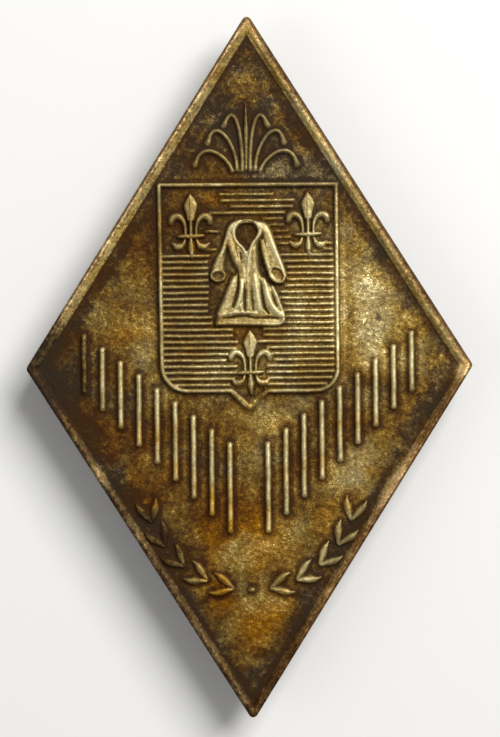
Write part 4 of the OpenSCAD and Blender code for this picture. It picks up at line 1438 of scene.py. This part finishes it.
        # The rim's tint: tarnish, and a painted reddish reflection
        colour_of = b.tinted(on_rim, colour_of, finish.rim)
        slope = on_rim * (1.0 - on_crest) * up.rise(-0.5, 0.5)
        colour_of = b.tinted(slope, colour_of, finish.slope)
    thin = tone.rise(1.05, 0.70)
    colour_of = b.tinted(warmth.ramp(0.0, 1.5) * thin, colour_of, finish.warm)
    cool = b.colours(
        tone, (0.0, finish.cool_grime_and_shade), (0.22, finish.cool_dark), (0.68, finish.cool_mid), (1.0, finish.bright)
    )
    colour_of = b.mix(warmth.ramp(0.0, -1.1), colour_of, cool)
    bump = b.add("ShaderNodeBump", {}, {"Strength": 0.8, "Distance": 0.00003, "Height": height}, "Normal")
    shader = b.add(
        "ShaderNodeBsdfPrincipled",
        {},
        {
            "Base Color": colour_of,
            "Metallic": tone.rise(0.05, 0.60, 0.25, 0.80),
            "Roughness": tone.ramp(0.0, 1.0, 0.64, 0.42) + (crest * 0.12 if shape else 0.0) + sharp,
            "Specular IOR Level": 0.06,
            "Normal": bump,
        },
    )
    b.add("ShaderNodeOutputMaterial", {}, {"Surface": shader})
    return material


def floor_paint(name, tint):
    """Plain matt paint."""
    material, b = new_paint(name)
    shader = b.add("ShaderNodeBsdfPrincipled", {}, {"Base Color": tint, "Roughness": 0.7})
    b.add("ShaderNodeOutputMaterial", {}, {"Surface": shader})
    return material


# ---- Operators ----

# Half the side of the floor, in metres
FLOOR_REACH = 1.5

# The camera: width of its sensor in millimetres, how far the badge sits off the middle of the picture in metres,
# and how far the picture is turned
SENSOR, FRAME_SHIFT, ROLL = 36.0, -0.08 * MM, math.radians(0.55)

# A struck face has more faces than this
LEAST_FACES = 20000


class BADGE_OT_strike(bpy.types.Operator):
    """Draw the relief, cut the blank along it and strike the face"""

    bl_idname = "badge.strike"
    bl_label = "Strike the badge"

    def execute(self, context):
        scene = context.scene
        shape, relief = scene.badge_shape, scene.badge_relief
        repeat, divide, strike = repeat_recipe(), grain_recipe(), strike_recipe()
        outline, side = outline_points(shape)
        edge = Drawing("outline", 1.0)
        edge.loop(outline, 0.1, 0.0)
        edge = edge.made()
        shield, shield_layers = shield_drawing(relief)
        hatching, worn = hatch_drawing(relief, repeat, divide)
        lilies, lily_layers = lily_drawing(repeat)
        robe, robe_layers = robe_drawing()
        reeds = reed_drawing(relief, repeat, divide)
        leaves, bead = garland_drawing(repeat)
        fronds, frond_layers = frond_drawing(relief)
        drawn = [shield, hatching, worn, lilies, robe, reeds, leaves, bead, fronds]
        for drawing in drawn:
            x, y = LILY_SEAT if drawing == lilies else (0.0, 0.0)
            drawing.data.transform(Matrix.Translation(((SEAT[0] + x) * MM, (SEAT[1] + y) * MM, 0.0)))
        face = make_blank(shape, drawn, outline, side)
        brass = aged_brass("aged_brass", scene.badge_finish, shape)
        # Columns: drawing, its layers, share of the wear, shine of its crests, height at which they are bare, how
        # softly its layers join in millimetres
        turns = [
            (shield, shield_layers, 1.0, 0.90, 0.20, 0.06),
            (hatching, 1, 1.2, 0.71, 0.10, 0.06),
            (worn, 1, 2.4, 0.40, 0.20, 0.06),
            (lilies, lily_layers, 0.5, 0.77, 0.10, 0.06),
            (robe, robe_layers, 0.3, 0.87, 0.10, 0.12),
            (reeds, 1, 0.8, 1.06, 0.10, 0.06),
            (leaves, 1, 0.8, 0.86, 0.10, 0.06),
            (bead, 1, 1.0, 0.65, 0.20, 0.06),
            (fronds, frond_layers, 1.3, 0.72, 0.20, 0.06),
        ]
        for drawing, layers, rubbed, shine, bare, blend in turns:
            work(
                face,
                strike,
                drawing=drawing,
                layers=layers,
                blend=blend * MM,
                halo=relief.halo,
                wear=relief.wear * rubbed,
                shine=shine,
                bare=bare,
                material=brass,
            )
        work(
            face,
            rim_recipe(),
            outline=edge,
            rise=shape.rim_rise,
            crest=shape.rim_crest,
            width=shape.rim_width,
            round=shape.rim_round,
            waves=shape.waves,
            material=brass,
        )
        for drawing in [edge, *drawn]:
            bpy.data.objects.remove(drawing)
        if len(face.data.polygons) < LEAST_FACES:
            raise RuntimeError("the face was not struck")
        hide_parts("badge_plate")
        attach(face, "root")
        return {"FINISHED"}


class BADGE_OT_pin(bpy.types.Operator):
    """Give the brooch pin its metal"""

    bl_idname = "badge.pin"
    bl_label = "Finish the pin"

    def execute(self, context):
        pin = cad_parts.get("brooch_pin")
        if pin is None:
            raise RuntimeError("the frame has no brooch_pin")
        metal = aged_brass("pin_metal", context.scene.badge_finish)
        pin.data.materials.clear()
        pin.data.materials.append(metal)
        return {"FINISHED"}


class BADGE_OT_stage(bpy.types.Operator):
    """Lay the floor, and set the light and the view"""

    bl_idname = "badge.stage"
    bl_label = "Set the stage"

    def execute(self, context):
        scene = context.scene
        studio = scene.badge_studio
        mesh = bpy.data.meshes.new("floor")
        corners = [(x * FLOOR_REACH, y * FLOOR_REACH, 0) for x, y in ((-1, -1), (1, -1), (1, 1), (-1, 1))]
        mesh.from_pydata(corners, [], [(0, 1, 2, 3)])
        mesh.materials.append(floor_paint("floor_paint", studio.floor))
        floor = placed("floor", mesh)
        floor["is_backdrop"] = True

        low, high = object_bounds()
        middle = (low + high) / 2
        middle.z = high.z
        middle.y += FRAME_SHIFT
        back = Vector((-math.sin(studio.tilt), 0.0, math.cos(studio.tilt)))
        data = bpy.data.cameras.new("camera")
        data.lens = studio.lens
        data.sensor_width = SENSOR
        reach = studio.frame_tall * studio.lens / SENSOR
        data.clip_start, data.clip_end = 0.01, 10.0
        camera = placed("camera", data)
        camera.location = middle + back * reach
        up = Vector((math.sin(ROLL), math.cos(ROLL), 0))
        right = up.cross(back).normalized()
        up = back.cross(right)
        camera.rotation_mode = "QUATERNION"
        camera.rotation_quaternion = Matrix((right, up, back)).transposed().to_quaternion()
        scene.camera = camera

        # Columns: name, power, size, place
        lights = (
            ("key", studio.key, 0.15, (0.11, 0.13, 0.21)),
            ("fill", studio.fill, 0.20, (-0.22, -0.06, 0.20)),
        )
        for name, power, size, spot in lights:
            lamp = bpy.data.lights.new(name, "AREA")
            lamp.energy = power
            lamp.size = size
            light = placed(name, lamp)
            light.location = spot
            aim = Vector(spot) - middle
            light.rotation_mode = "QUATERNION"
            light.rotation_quaternion = aim.to_track_quat("Z", "Y")
        world = bpy.data.worlds.new("sky")
        scene.world = world
        world.use_nodes = True
        sky = world.node_tree.nodes["Background"]
        sky.inputs["Color"].default_value = (1.0, 1.0, 1.0, 1.0)
        sky.inputs["Strength"].default_value = studio.sky
        scene.view_settings.view_transform = "Standard"
        return {"FINISHED"}


class BADGE_PT_side(bpy.types.Panel):
    """The badge's steps and sizes"""

    bl_label = "Badge"
    bl_idname = "BADGE_PT_side"
    bl_space_type = "VIEW_3D"
    bl_region_type = "UI"
    bl_category = "Badge"

    def draw(self, context):
        for step in (BADGE_OT_strike, BADGE_OT_pin, BADGE_OT_stage):
            self.layout.operator(step.bl_idname)
        for label in GROUPS:
            box = self.layout.box()
            group = getattr(context.scene, label)
            for key in group.bl_rna.properties.keys():
                if key not in {"rna_type", "name"}:
                    box.prop(group, key)


GROUPS = {
    "badge_shape": BadgeShape,
    "badge_relief": BadgeRelief,
    "badge_finish": BadgeFinish,
    "badge_studio": BadgeStudio,
}
CLASSES = (*GROUPS.values(), BADGE_OT_strike, BADGE_OT_pin, BADGE_OT_stage, BADGE_PT_side)


def register():
    """Adds the operators, the panel and the scene's groups of sizes."""
    for c in CLASSES:
        bpy.utils.register_class(c)
    for label, group in GROUPS.items():
        setattr(bpy.types.Scene, label, PointerProperty(type=group))


def unregister():
    """Takes them out again."""
    for label in GROUPS:
        delattr(bpy.types.Scene, label)
    for c in reversed(CLASSES):
        bpy.utils.unregister_class(c)


def main():
    """Adds the operators and the groups of sizes, then makes every piece and the stage."""
    register()
    bpy.ops.badge.strike()
    bpy.ops.badge.pin()
    bpy.ops.badge.stage()


if __name__ == "__main__":
    main()
